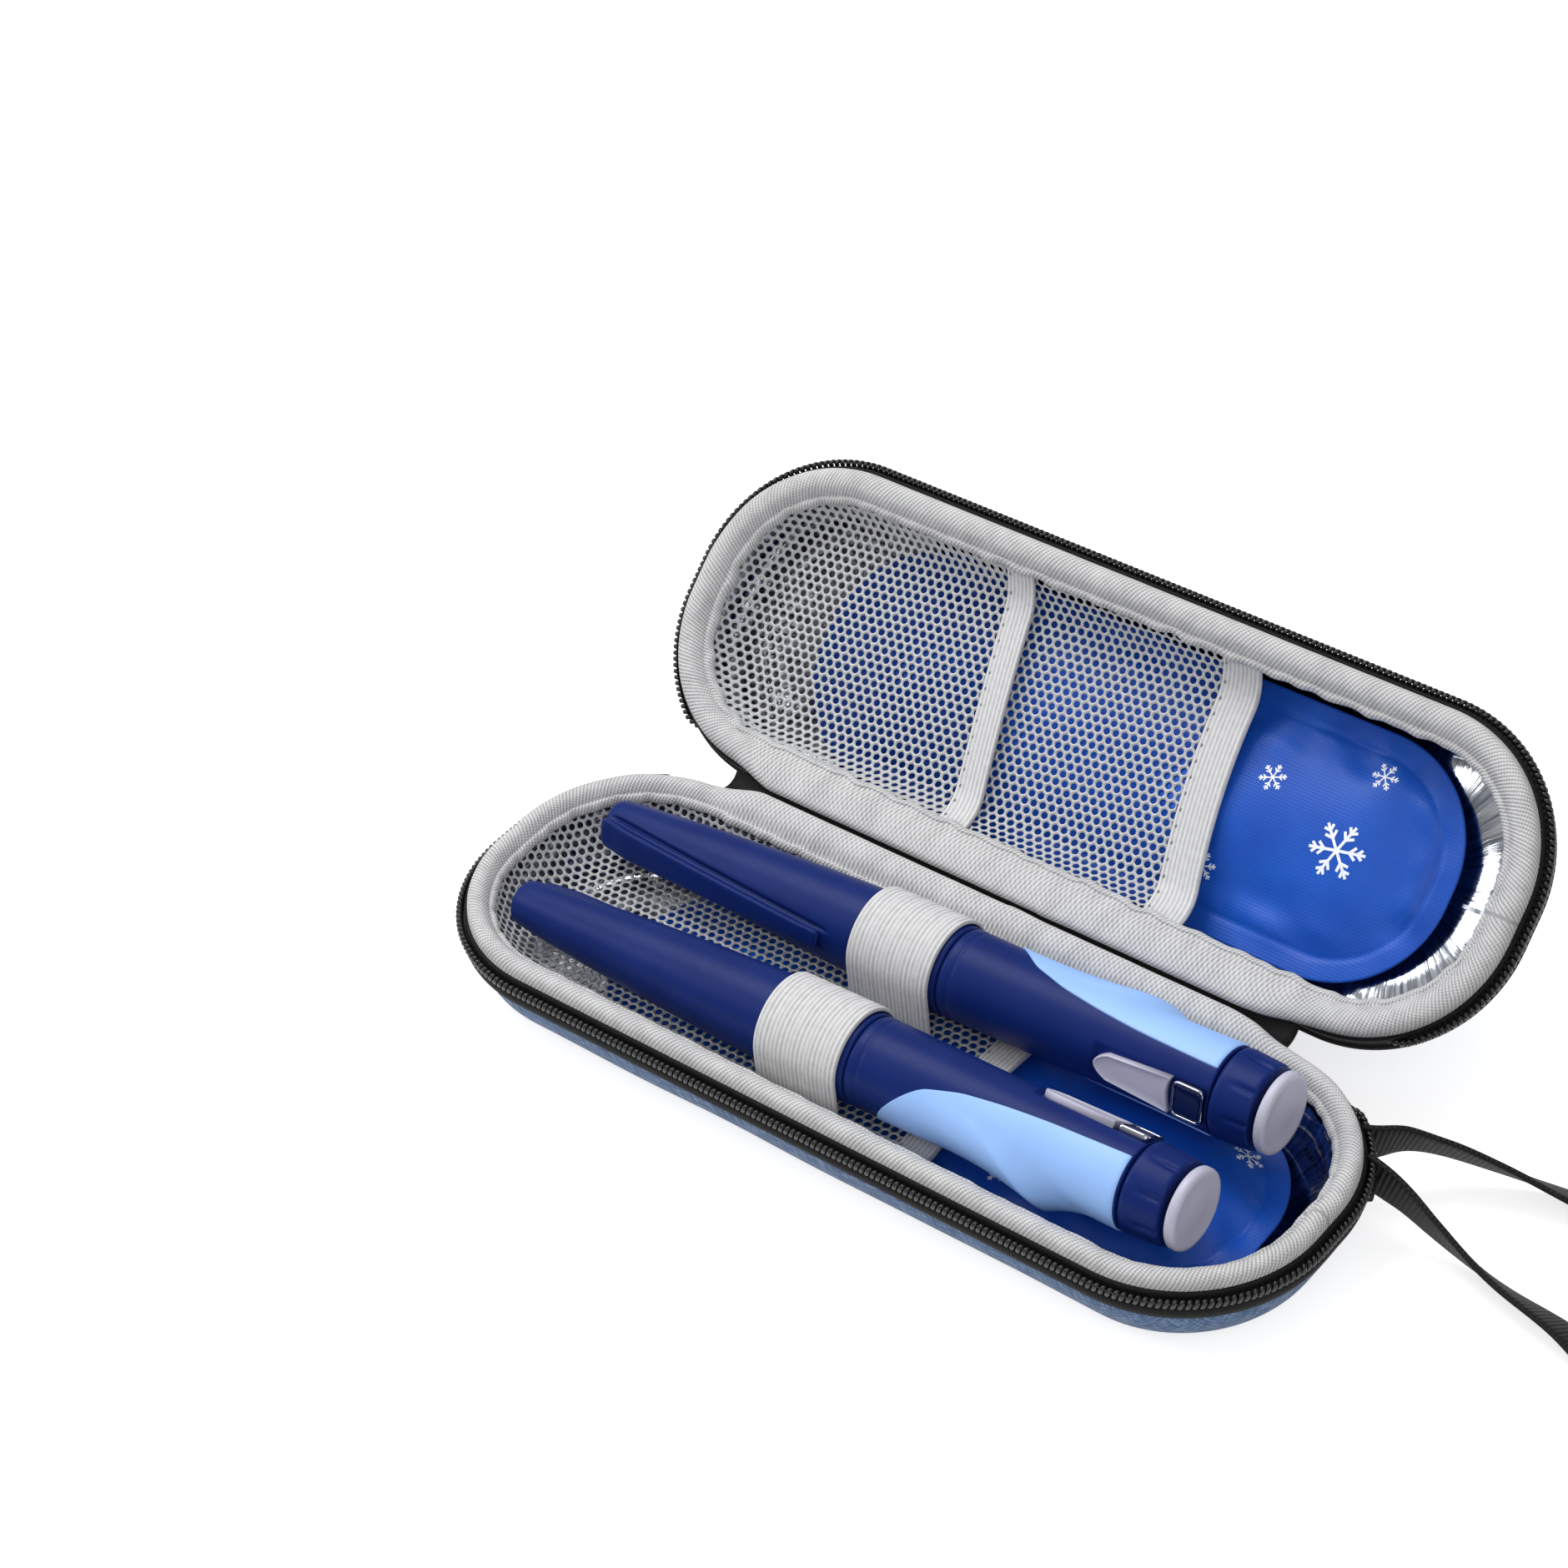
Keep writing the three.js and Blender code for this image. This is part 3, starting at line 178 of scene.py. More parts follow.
class Outline:
    """A rounded rectangle in plan, measured anticlockwise from the low end of its right side.

    Four straight sides and four quarter arcs; a point moves outwards along the normal by an offset."""

    def __init__(self, length, width, corner, shift=0.0):
        self.half = np.array([length / 2, width / 2])
        self.core = self.half - corner
        self.corner, self.shift = corner, shift
        a, b, arc = 2 * self.core[0], 2 * self.core[1], math.pi / 2 * corner
        self.ends = np.cumsum([0, b, arc, a, arc, b, arc, a, arc])
        self.total = self.ends[-1]

    def turn(self, degrees):
        """Distance round to where the normal has turned that far, on an arc."""
        laps, rest = divmod(degrees, 360)
        quarter = int(rest // 90)
        return laps * self.total + self.ends[2 * quarter + 1] + (rest % 90) / 90 * math.pi / 2 * self.corner

    def at(self, s):
        """Points and outward normals at distances s."""
        s = np.asarray(s, float)
        rest = s % self.total
        part = np.clip(np.searchsorted(self.ends, rest, side="right") - 1, 0, 7)
        along = (rest - self.ends[part]) / (self.ends[part + 1] - self.ends[part])
        quarter, arc = part // 2, part % 2
        angle = (quarter + arc * along) * math.pi / 2
        normal = np.stack([np.cos(angle), np.sin(angle)], -1)
        after = np.array([[1, 1], [-1, 1], [-1, -1], [1, -1]], float)
        before = np.array([[1, -1], [1, 1], [-1, 1], [-1, -1]], float)
        mix = np.where(arc == 1, 1.0, along)[..., None]
        centre = self.core * (before[quarter] * (1 - mix) + after[quarter] * mix)
        point = centre + normal * self.corner
        return point + np.array([self.shift, 0.0]), normal

    def round(self, count):
        """An even count of distances all round, mirrored about the middle line."""
        return self.core[1] + (np.arange(count) + 0.5) * self.total / count

    def inset(self, x, y):
        """How far a point lies inside the outline."""
        q = np.stack([np.abs(x - self.shift), np.abs(y)], -1) - self.core
        outside = np.linalg.norm(np.maximum(q, 0), axis=-1)
        return self.corner - outside - np.minimum(q.max(-1), 0)


RIM = Outline(RIM_LENGTH, RIM_WIDTH, RIM_CORNER)


def ease(t):
    """A smooth step from 0 to 1: three times the square less twice the cube."""
    t = np.clip(t, 0, 1)
    return t * t * (3 - 2 * t)


def squared(wave, power):
    """A sine or cosine bulged towards a square wave: its size to a power, with its sign."""
    return np.sign(wave) * np.abs(wave) ** power


def ripple(x, y, wave, seed):
    """Soft unevenness from about -1 to 1: a sum of seeded sine waves, each about as long as wave."""
    count = 7
    rng = np.random.default_rng(seed)
    angle = rng.uniform(0, 2 * math.pi, count)
    length = wave * rng.uniform(0.6, 1.7, count)
    phase = rng.uniform(0, 2 * math.pi, count)
    flat = np.multiply.outer(x, np.cos(angle)) + np.multiply.outer(y, np.sin(angle))
    waves = np.sin(2 * math.pi * flat / length + phase)
    return waves.sum(-1) / math.sqrt(count) / 1.4


def smoothed(values, reach):
    """A running mean over reach values to either side, with the ends held."""
    window = 2 * reach + 1
    return np.convolve(np.pad(values, reach, mode="edge"), np.ones(window) / window, mode="valid")


def grid_faces(rows, cols, wrap_rows=False, wrap_cols=False):
    """Quads of a grid of rows by cols points, joined round where a direction wraps."""
    r = np.arange(rows if wrap_rows else rows - 1)[:, None]
    c = np.arange(cols if wrap_cols else cols - 1)[None, :]
    r1, c1 = (r + 1) % rows, (c + 1) % cols
    return np.stack([r * cols + c, r1 * cols + c, r1 * cols + c1, r * cols + c1], -1).reshape(-1, 4)


def repeated(faces, size, count):
    """The faces of a small shape of size points, for a count of copies laid end to end."""
    return (faces[None] + (np.arange(count) * size)[:, None, None]).reshape(-1, 4)


def unit(vectors):
    """Vectors along the last axis, each at length 1."""
    return vectors / np.linalg.norm(vectors, axis=-1, keepdims=True)


def section_lengths(section):
    """Distance run along a section's points."""
    return np.concatenate([[0], np.cumsum(np.linalg.norm(np.diff(section, axis=0), axis=1))])


def smooth_loop(points, count):
    """A closed smooth curve through points: periodic cubic (Catmull-Rom) spans, count points in all."""
    p = np.asarray(points, float)
    t = np.arange(count) * len(p) / count
    i = t.astype(int)
    f = (t - i)[:, None]
    a, b, c, d = (p[(i + k) % len(p)] for k in (-1, 0, 1, 2))
    return 0.5 * (2 * b + (c - a) * f + (2 * a - 5 * b + 4 * c - d) * f**2 + (3 * b - a - 3 * c + d) * f**3)


def smooth_path(points, count):
    """An open smooth curve through points, with centripetal knots, at even distances."""
    p = np.asarray(points, float)
    p = np.vstack([2 * p[0] - p[1], p, 2 * p[-1] - p[-2]])
    knots = np.concatenate([[0], np.cumsum(np.sqrt(np.linalg.norm(np.diff(p, axis=0), axis=1)))])
    t = np.linspace(knots[1], knots[-2] - 1e-9, 40 * count)
    i = np.searchsorted(knots, t, side="right") - 1
    k = [knots[i + j][:, None] for j in (-1, 0, 1, 2)]
    q = [p[i + j] for j in (-1, 0, 1, 2)]
    t = t[:, None]

    def between(a, b, start, end):
        return ((end - t) * a + (t - start) * b) / (end - start)

    a1, a2, a3 = (between(q[j], q[j + 1], k[j], k[j + 1]) for j in range(3))
    dense = between(between(a1, a2, k[0], k[2]), between(a2, a3, k[1], k[3]), k[1], k[2])
    run = section_lengths(dense)
    even = np.linspace(0, run[-1], count)
    return np.stack([np.interp(even, run, dense[:, axis]) for axis in range(dense.shape[1])], -1)


def rim_stations(step, start=0.0, end=None):
    """Even distances round the rim, the same on both sides of its middle line, or over a stretch of it."""
    if end is None:
        return RIM.round(int(RIM.total / step / 2) * 2)
    return np.linspace(start, end, int(round((end - start) / step)) + 1)


def rim_sweep(section, s, wrap=True):
    """A closed section of (offset, z), one for all or one to a station, carried round the rim."""
    point, normal = RIM.at(s)
    sections = np.broadcast_to(section, (len(s),) + section.shape[-2:])
    xy = point[:, None, :] + normal[:, None, :] * sections[..., :1]
    points = np.concatenate([xy, sections[..., 1:]], -1)
    uv = np.stack(np.broadcast_arrays(np.asarray(s)[:, None], section_lengths(sections[0])[None, :]), -1)
    return points, uv, grid_faces(len(s), sections.shape[1], wrap, True)


def wall_curve(depth, steps):
    """The half's rounded wall at a depth under its cover, from the seam down to the flat underside.

    A superellipse quarter: offset and z follow powers of the cosine and sine of the turn."""
    turn = np.linspace(0, math.pi / 2, steps)
    inward = (ROUND_INSET - depth) * (1 - np.cos(turn) ** (2 / ROUND_POWER))
    down = (SEAM_Z - depth) * np.sin(turn) ** (2 / ROUND_POWER)
    return np.stack([-(SEAM_INSET + depth + inward), SEAM_Z - down], -1)


def dish(outline, offset, z, share, s):
    """Rings of a dish: each ring is the outline at an offset, drawn in by a share to the middle line."""
    point, normal = outline.at(s)
    reach = outline.half[0] - outline.half[1]
    middle = np.stack([np.clip(point[:, 0] - outline.shift, -reach, reach) + outline.shift, 0 * s], -1)
    ring = point[None] + normal[None] * offset[:, None, None]
    xy = ring * (1 - share[:, None, None]) + middle[None] * share[:, None, None]
    return np.concatenate([xy, np.broadcast_to(z[:, None, None], xy.shape[:2] + (1,))], -1)


def spindles(centre, half_length, half_width):
    """Many small stitches along Y: five-sided spindles with a swelling middle, one at each centre."""
    along = np.array([-1.0, -0.75, 0.0, 0.75, 1.0])[:, None]
    girth = np.array([0.15, 0.75, 1.0, 0.75, 0.15])[:, None]
    turn = np.arange(5) * 2 * math.pi / 5
    shape = np.stack(np.broadcast_arrays(
        girth * half_width * np.cos(turn), along * half_length, -girth * half_width * np.sin(turn)), -1)
    points = centre[:, None, None, :] + shape
    return points, repeated(grid_faces(5, 5, False, True), 25, len(centre))


def piece(name, points, faces, finish, body, slot, uv=None, closed=True, replaces=()):
    """A finished mesh object: arrays in millimetres become one mesh in metres that rides on its body.

    A closed piece has its doubles merged, its open ends filled and its faces turned outwards."""
    flat = np.asarray(points, np.float64).reshape(-1, 3) * MM
    faces = np.asarray(faces, np.int32)
    mesh = bpy.data.meshes.new(name)
    mesh.vertices.add(len(flat))
    mesh.vertices.foreach_set("co", flat.astype(np.float32).ravel())
    mesh.loops.add(faces.size)
    mesh.loops.foreach_set("vertex_index", faces.ravel())
    mesh.polygons.add(len(faces))
    mesh.polygons.foreach_set("loop_start", np.arange(0, faces.size, faces.shape[1], dtype=np.int32))
    mesh.polygons.foreach_set("use_smooth", np.ones(len(faces), bool))
    if uv is not None:
        spread = np.asarray(uv, np.float64).reshape(-1, 2)[faces.ravel()] * MM
        mesh.uv_layers.new(name="UVMap").data.foreach_set("uv", spread.astype(np.float32).ravel())
    mesh.update(calc_edges=True)
    mesh.validate()
    if closed:
        work = bmesh.new()
        work.from_mesh(mesh)
        bmesh.ops.remove_doubles(work, verts=work.verts, dist=2e-6)
        bmesh.ops.holes_fill(work, edges=[e for e in work.edges if e.is_boundary], sides=0)
        bmesh.ops.recalc_face_normals(work, faces=work.faces)
        work.to_mesh(mesh)
        work.free()
    obj = bpy.data.objects.new(name, mesh)
    bpy.context.scene.collection.objects.link(obj)
    mesh.materials.append(finish)
    if body:
        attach(obj, body)
    if replaces:
        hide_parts(*replaces)
    return obj


def lid_place(points):
    """The lid's own frame swung about the hinge: its near edge lies on the hinge, its far edge rises."""
    swing = math.radians(180 - LID_OPEN)
    y, z = points[..., 1] + HINGE_Y, points[..., 2] - HINGE_Z
    c, s = math.cos(swing), math.sin(swing)
    return np.stack([points[..., 0], HINGE_Y + y * c - z * s, HINGE_Z + y * s + z * c], -1)


def half_piece(half, name, points, faces, finish, slot, body=None, **details):
    """A piece of either half, on the half itself or on another body: the lid's are swung open."""
    placed = lid_place(points) if half == "lid" else points
    return piece(f"{half}_{name}", placed, faces, finish, body or f"case_{half}", slot, **details)


# Materials


def linear(code):
    """A linear colour from an sRGB hex code."""
    parts = [int(code[i:i + 2], 16) / 255 for i in (1, 3, 5)]
    return tuple(p / 12.92 if p <= 0.04045 else ((p + 0.055) / 1.055) ** 2.4 for p in parts) + (1.0,)


def pitch(millimetres):
    """Scale of a wave texture whose bands are that far apart."""
    return math.pi / 10 / (millimetres * MM)


def spots(millimetres):
    """Scale of a noise texture, or of a mapping before one, whose spots are that large."""
    return 1 / (millimetres * MM)


def node(tree, kind, inputs=None, stops=(), **settings):
    """Adds one node; an input takes a value, or a link where it is given another node's output.

    A colour ramp also takes its stops, as (position, hex code), the two ends first."""
    made = tree.nodes.new(kind)
    for number, (position, code) in enumerate(stops):
        row = made.color_ramp.elements
        stop = row[number] if number < 2 else row.new(position)
        stop.position, stop.color = position, linear(code)
    for key, value in settings.items():
        setattr(made, key, value)
    for key, value in (inputs or {}).items():
        if isinstance(value, bpy.types.NodeSocket):
            tree.links.new(value, made.inputs[key])
        else:
            made.inputs[key].default_value = value
    return made


def blank_material(name):
    """A new material with an empty node tree."""
    made = bpy.data.materials.new(name)
    made.use_nodes = True
    made.node_tree.nodes.clear()
    return made, made.node_tree


def material(name, recipe, **details):
    """A material: its recipe adds the pattern to the tree and gives the principled shader's inputs."""
    made, tree = blank_material(name)
    skin = node(tree, "ShaderNodeBsdfPrincipled", recipe(tree, **details))
    node(tree, "ShaderNodeOutputMaterial", {"Surface": skin.outputs[0]})
    return made


def melange_polyester(tree):
    """Polyester melange laminated over foam: slate-blue yarns, flecked light and dark, slubs both ways."""
    place = node(tree, "ShaderNodeTexCoord").outputs["UV"]
    slant = node(tree, "ShaderNodeMapping", {"Vector": place, "Rotation": (0, 0, 0.21)}).outputs[0]
    # Warp and weft flecks: a yarn is about 0.45 mm wide and a fleck 6 mm long.
    wide, long = spots(0.4545), spots(5.88)
    weft = node(tree, "ShaderNodeMapping", {"Vector": slant, "Scale": (long, wide, 1)}).outputs[0]
    warp = node(tree, "ShaderNodeMapping", {"Vector": slant, "Scale": (wide, long, 1)}).outputs[0]
    one = node(tree, "ShaderNodeTexNoise", {"Vector": weft, "Scale": 1.0, "Detail": 2.0}).outputs["Fac"]
    two = node(tree, "ShaderNodeTexNoise", {"Vector": warp, "Scale": 1.0, "Detail": 2.0}).outputs["Fac"]
    both = node(tree, "ShaderNodeMath", {0: one, 1: two}, operation="ADD").outputs[0]
    spread = node(tree, "ShaderNodeMapRange", {"Value": both, "From Min": 0.72, "From Max": 1.3}).outputs[0]
    ramp = node(tree, "ShaderNodeValToRGB", {"Fac": spread}, [
        (0, "#2f4a72"), (1, "#93acc9"), (0.45, "#4d6c98")])
    # The plain weave itself, drawn at 0.9 mm so that it shows.
    yarn = {"Vector": slant, "Scale": pitch(0.9), "Distortion": 1.5}
    grain = node(tree, "ShaderNodeTexWave", yarn).outputs["Fac"]
    cross = node(tree, "ShaderNodeTexWave", yarn, bands_direction="Y").outputs["Fac"]
    weave = node(tree, "ShaderNodeMath", {0: grain, 1: cross}, operation="MULTIPLY").outputs[0]
    raised = node(tree, "ShaderNodeMath", {0: weave, 1: spread}, operation="ADD").outputs[0]
    bump = node(tree, "ShaderNodeBump", {
        "Height": raised, "Strength": 0.35, "Distance": 0.3 * MM}).outputs[0]
    return {"Base Color": ramp.outputs[0], "Roughness": 0.85, "Sheen Weight": 0.25, "Sheen Roughness": 0.5,
            "Specular IOR Level": 0.25, "Normal": bump}


def aluminised_film(tree):
    """Aluminised polyester film over foam: a bright mirror drawn out into fine streaks down the wall; the
    streaks also darken and lighten its metal colour as a painted reflection.
    """
    place = node(tree, "ShaderNodeTexCoord").outputs["UV"]
    # Streaks 1.25 mm apart round the wall and 12.5 mm long down it, over creases of 5 mm.
    drawn = node(tree, "ShaderNodeMapping", {
        "Vector": place, "Scale": (spots(1.25), spots(12.5), 1)}).outputs[0]
    streak_and_painted_reflection = node(tree, "ShaderNodeTexNoise", {"Vector": drawn, "Scale": 1.0, "Detail": 3.0}).outputs["Fac"]
    crease = node(tree, "ShaderNodeTexNoise", {
        "Vector": place, "Scale": spots(5), "Detail": 2.0}).outputs["Fac"]
    height = node(tree, "ShaderNodeMath", {0: streak_and_painted_reflection, 1: crease}, operation="ADD").outputs[0]
    bump = node(tree, "ShaderNodeBump", {
        "Height": height, "Strength": 0.14, "Distance": 0.4 * MM}).outputs[0]
    rough = node(tree, "ShaderNodeMapRange", {"Value": streak_and_painted_reflection, "To Min": 0.07, "To Max": 0.16}).outputs[0]
    # Painted reflection: the streaks darken and lighten the film's metal colour, standing in for the
    # streaky reflections of the crinkled film; the creases in the bump are real.
    ramp = node(tree, "ShaderNodeValToRGB", {"Fac": streak_and_painted_reflection}, [(0.3, "#6d737e"), (0.7, "#d3d7de")])
    return {"Base Color": ramp.outputs[0], "Metallic": 1.0, "Roughness": rough, "Normal": bump}


def zip_tape_weave(tree):
    """Woven polyester zip tape: matt black with a fine rib across it."""
    place = node(tree, "ShaderNodeTexCoord").outputs["UV"]
    # Ribs across the tape, 0.8 mm apart, under dust of about 1 mm.
    rib = node(tree, "ShaderNodeTexWave", {
        "Vector": place, "Scale": pitch(0.8), "Distortion": 0.6}).outputs["Fac"]
    dust = node(tree, "ShaderNodeTexNoise", {
        "Vector": place, "Scale": spots(1.11), "Detail": 2.0}).outputs["Fac"]
    ramp = node(tree, "ShaderNodeValToRGB", {"Fac": dust}, [(0, "#060607"), (1, "#151518")])
    height = node(tree, "ShaderNodeMath", {0: rib, 1: dust}, operation="ADD").outputs[0]
    bump = node(tree, "ShaderNodeBump", {
        "Height": height, "Strength": 0.3, "Distance": 0.2 * MM}).outputs[0]
    return {"Base Color": ramp.outputs[0], "Roughness": 0.7, "Specular IOR Level": 0.2, "Normal": bump}


def zip_coil_nylon(tree):
    """Drawn nylon monofilament: black, with small bright glints along each turn."""
    place = node(tree, "ShaderNodeTexCoord").outputs["Object"]
    # Scuffs of about the wire's thickness.
    scuff = node(tree, "ShaderNodeTexNoise", {
        "Vector": place, "Scale": spots(0.833), "Detail": 2.0}).outputs["Fac"]
    rough = node(tree, "ShaderNodeMapRange", {"Value": scuff, "To Min": 0.22, "To Max": 0.4}).outputs[0]
    return {"Base Color": linear("#0a0a0b"), "Roughness": rough, "IOR": 1.53}


def knit_binding(tree):
    """Knitted polyester binding: mid grey, fine courses that slant across the roll, with stitches."""
    place = node(tree, "ShaderNodeTexCoord").outputs["UV"]
    slant = node(tree, "ShaderNodeMapping", {"Vector": place, "Rotation": (0, 0, 0.5)}).outputs[0]
    # Courses 0.8 mm apart, crossed by stitches 0.6 mm long, with shading over about 4 mm.
    course = node(tree, "ShaderNodeTexWave", {
        "Vector": slant, "Scale": pitch(0.8), "Distortion": 0.9, "Detail": 2.0,
        "Detail Scale": 2.0}).outputs["Fac"]
    stitch = node(tree, "ShaderNodeTexWave", {
        "Vector": slant, "Scale": pitch(0.6), "Distortion": 1.2}, bands_direction="Y").outputs["Fac"]
    knit = node(tree, "ShaderNodeMath", {
        0: stitch, 1: 0.45, 2: course}, operation="MULTIPLY_ADD").outputs[0]
    cloud = node(tree, "ShaderNodeTexNoise", {
        "Vector": place, "Scale": spots(3.85), "Detail": 4.0}).outputs["Fac"]
    shade = node(tree, "ShaderNodeMath", {0: knit, 1: cloud}, operation="ADD").outputs[0]
    spread = node(tree, "ShaderNodeMapRange", {"Value": shade, "From Min": 0.4, "From Max": 1.8}).outputs[0]
    ramp = node(tree, "ShaderNodeValToRGB", {"Fac": spread}, [(0, "#909092"), (1, "#d4d4d5")])
    bump = node(tree, "ShaderNodeBump", {"Height": knit, "Strength": 0.6, "Distance": 0.2 * MM}).outputs[0]
    return {"Base Color": ramp.outputs[0], "Roughness": 0.95, "Specular IOR Level": 0.1, "Normal": bump}


def knitted_net(tree):
    """Warp-knitted polyester net: mid grey yarn with a slight sheen."""
    place = node(tree, "ShaderNodeTexCoord").outputs["Object"]
    # Fuzz of about a yarn's width.
    fuzz = node(tree, "ShaderNodeTexNoise", {
        "Vector": place, "Scale": spots(0.667), "Detail": 2.0}).outputs["Fac"]
    ramp = node(tree, "ShaderNodeValToRGB", {"Fac": fuzz}, [(0, "#98999c"), (1, "#d9dadc")])
    bump = node(tree, "ShaderNodeBump", {"Height": fuzz, "Strength": 0.4, "Distance": 0.2 * MM}).outputs[0]
    return {"Base Color": ramp.outputs[0], "Roughness": 0.7, "Sheen Weight": 0.2, "Normal": bump}


def ribbed_elastic(tree):
    """Woven elastic: light grey, with fine corded ribs along the band."""
    place = node(tree, "ShaderNodeTexCoord").outputs["UV"]
    # Ribs 1 mm apart across the band, with fluff of 1.4 mm.
    rib = node(tree, "ShaderNodeTexWave", {
        "Vector": place, "Scale": pitch(1.0)}, bands_direction="Y").outputs["Fac"]
    cloud = node(tree, "ShaderNodeTexNoise", {
        "Vector": place, "Scale": spots(1.43), "Detail": 3.0}).outputs["Fac"]
    shade = node(tree, "ShaderNodeMath", {0: rib, 1: cloud}, operation="ADD").outputs[0]
    spread = node(tree, "ShaderNodeMapRange", {"Value": shade, "From Min": 0.2, "From Max": 1.4}).outputs[0]
    ramp = node(tree, "ShaderNodeValToRGB", {"Fac": spread}, [(0, "#a6a6a8"), (1, "#d2d2d3")])
    bump = node(tree, "ShaderNodeBump", {"Height": rib, "Strength": 0.35, "Distance": 0.2 * MM}).outputs[0]
    return {"Base Color": ramp.outputs[0], "Roughness": 0.85, "Specular IOR Level": 0.2, "Normal": bump}


def sewing_thread(tree):
    """Spun sewing thread: grey, a shade darker than the elastic that it holds."""
    place = node(tree, "ShaderNodeTexCoord").outputs["Object"]
    # One twist to 0.4 mm.
    twist = node(tree, "ShaderNodeTexNoise", {"Vector": place, "Scale": spots(0.4)}).outputs["Fac"]
    ramp = node(tree, "ShaderNodeValToRGB", {"Fac": twist}, [(0, "#66666a"), (1, "#949498")])
    return {"Base Color": ramp.outputs[0], "Roughness": 0.8}


def coated_nylon(tree):
    """Coated nylon cloth, welded at its edge: strong blue with a soft satin sheen and a very fine weave."""
    place = node(tree, "ShaderNodeTexCoord").outputs["UV"]
    # The weave is 0.3 mm in the real cloth, drawn at 0.7 mm so that it shows. The blue drifts over 17 mm.
    yarn = {"Vector": place, "Scale": pitch(0.7), "Distortion": 0.4}
    warp = node(tree, "ShaderNodeTexWave", yarn).outputs["Fac"]
    weft = node(tree, "ShaderNodeTexWave", yarn, bands_direction="Y").outputs["Fac"]
    weave = node(tree, "ShaderNodeMath", {0: warp, 1: weft}, operation="MULTIPLY").outputs[0]
    cloud = node(tree, "ShaderNodeTexNoise", {
        "Vector": place, "Scale": spots(16.7), "Detail": 3.0}).outputs["Fac"]
    ramp = node(tree, "ShaderNodeValToRGB", {"Fac": cloud}, [(0, "#0a3c9e"), (1, "#165cc6")])
    bump = node(tree, "ShaderNodeBump", {
        "Height": weave, "Strength": 0.18, "Distance": 0.2 * MM}).outputs[0]
    return {"Base Color": ramp.outputs[0], "Roughness": 0.42, "Specular IOR Level": 0.3, "Normal": bump}


def white_print(tree):
    """Screen-printed white ink: matt, with the cloth's grain in it."""
    place = node(tree, "ShaderNodeTexCoord").outputs["Object"]
    # Grain of the screen, drawn at about 0.55 mm so that it shows.
    grain = node(tree, "ShaderNodeTexNoise", {"Vector": place, "Scale": spots(0.556)}).outputs["Fac"]
    ramp = node(tree, "ShaderNodeValToRGB", {"Fac": grain}, [(0, "#d9e2f4"), (1, "#fafcff")])
    return {"Base Color": ramp.outputs[0], "Roughness": 0.6}


def moulded_plastic(tree, dark, light, roughness, coat=0.0, shine=0.5):
    """Moulded plastic with a spark-eroded satin skin: an even colour and a soft, faintly mottled gloss."""
    place = node(tree, "ShaderNodeTexCoord").outputs["Object"]
    # Erosion grain of about 0.3 mm, and a flow of colour over 11 mm.
    grain = node(tree, "ShaderNodeTexNoise", {
        "Vector": place, "Scale": spots(0.286), "Detail": 2.0}).outputs["Fac"]
    cloud = node(tree, "ShaderNodeTexNoise", {
        "Vector": place, "Scale": spots(11.1), "Detail": 2.0}).outputs["Fac"]
    ramp = node(tree, "ShaderNodeValToRGB", {"Fac": cloud}, [(0, dark), (1, light)])
    rough = node(tree, "ShaderNodeMapRange", {
        "Value": grain, "To Min": roughness - 0.05, "To Max": roughness + 0.07}).outputs[0]
    bump = node(tree, "ShaderNodeBump", {
        "Height": grain, "Strength": 0.06, "Distance": 0.1 * MM}).outputs[0]
    return {"Base Color": ramp.outputs[0], "Roughness": rough, "IOR": 1.5, "Specular IOR Level": shine,
            "Coat Weight": coat, "Coat Roughness": 0.2, "Normal": bump}


def polished_metal(tree, colour, roughness):
    """Plated or drawn metal: a clear mirror with faint fine scratches."""
    place = node(tree, "ShaderNodeTexCoord").outputs["Object"]
    # Scratches 0.25 mm apart and about 3 mm long.
    fine = node(tree, "ShaderNodeMapping", {
        "Vector": place, "Scale": (spots(3.33), spots(0.25), spots(0.25))}).outputs[0]
    scratch = node(tree, "ShaderNodeTexNoise", {"Vector": fine, "Scale": 1.0, "Detail": 2.0}).outputs["Fac"]
    rough = node(tree, "ShaderNodeMapRange", {
        "Value": scratch, "To Min": roughness * 0.7, "To Max": roughness * 1.4}).outputs[0]
    return {"Base Color": linear(colour), "Metallic": 1.0, "Roughness": rough}


def clear_glass(tree, colour):
    """Drawn glass tube: lets light through, with a thin tint and a mirror-like skin."""
    place = node(tree, "ShaderNodeTexCoord").outputs["Object"]
    # A faint haze in patches of 2.5 mm.
    haze = node(tree, "ShaderNodeTexNoise", {"Vector": place, "Scale": spots(2.5)}).outputs["Fac"]
    rough = node(tree, "ShaderNodeMapRange", {"Value": haze, "To Min": 0.02, "To Max": 0.08}).outputs[0]
    return {"Base Color": linear(colour), "Roughness": rough, "IOR": 1.5, "Transmission Weight": 0.9}


def nylon_webbing(tree):
    """Woven nylon webbing: black, with ribs across the strap and a faint sheen."""
    place = node(tree, "ShaderNodeTexCoord").outputs["UV"]
    # Ribs across the strap, 1.1 mm apart, under dust of about 0.7 mm.
    rib = node(tree, "ShaderNodeTexWave", {
        "Vector": place, "Scale": pitch(1.1), "Distortion": 0.3}).outputs["Fac"]
    dust = node(tree, "ShaderNodeTexNoise", {
        "Vector": place, "Scale": spots(0.667), "Detail": 2.0}).outputs["Fac"]
    ramp = node(tree, "ShaderNodeValToRGB", {"Fac": dust}, [(0, "#060607"), (1, "#17171a")])
    bump = node(tree, "ShaderNodeBump", {"Height": rib, "Strength": 0.6, "Distance": 0.4 * MM}).outputs[0]
    return {"Base Color": ramp.outputs[0], "Roughness": 0.65, "Specular IOR Level": 0.25, "Normal": bump}


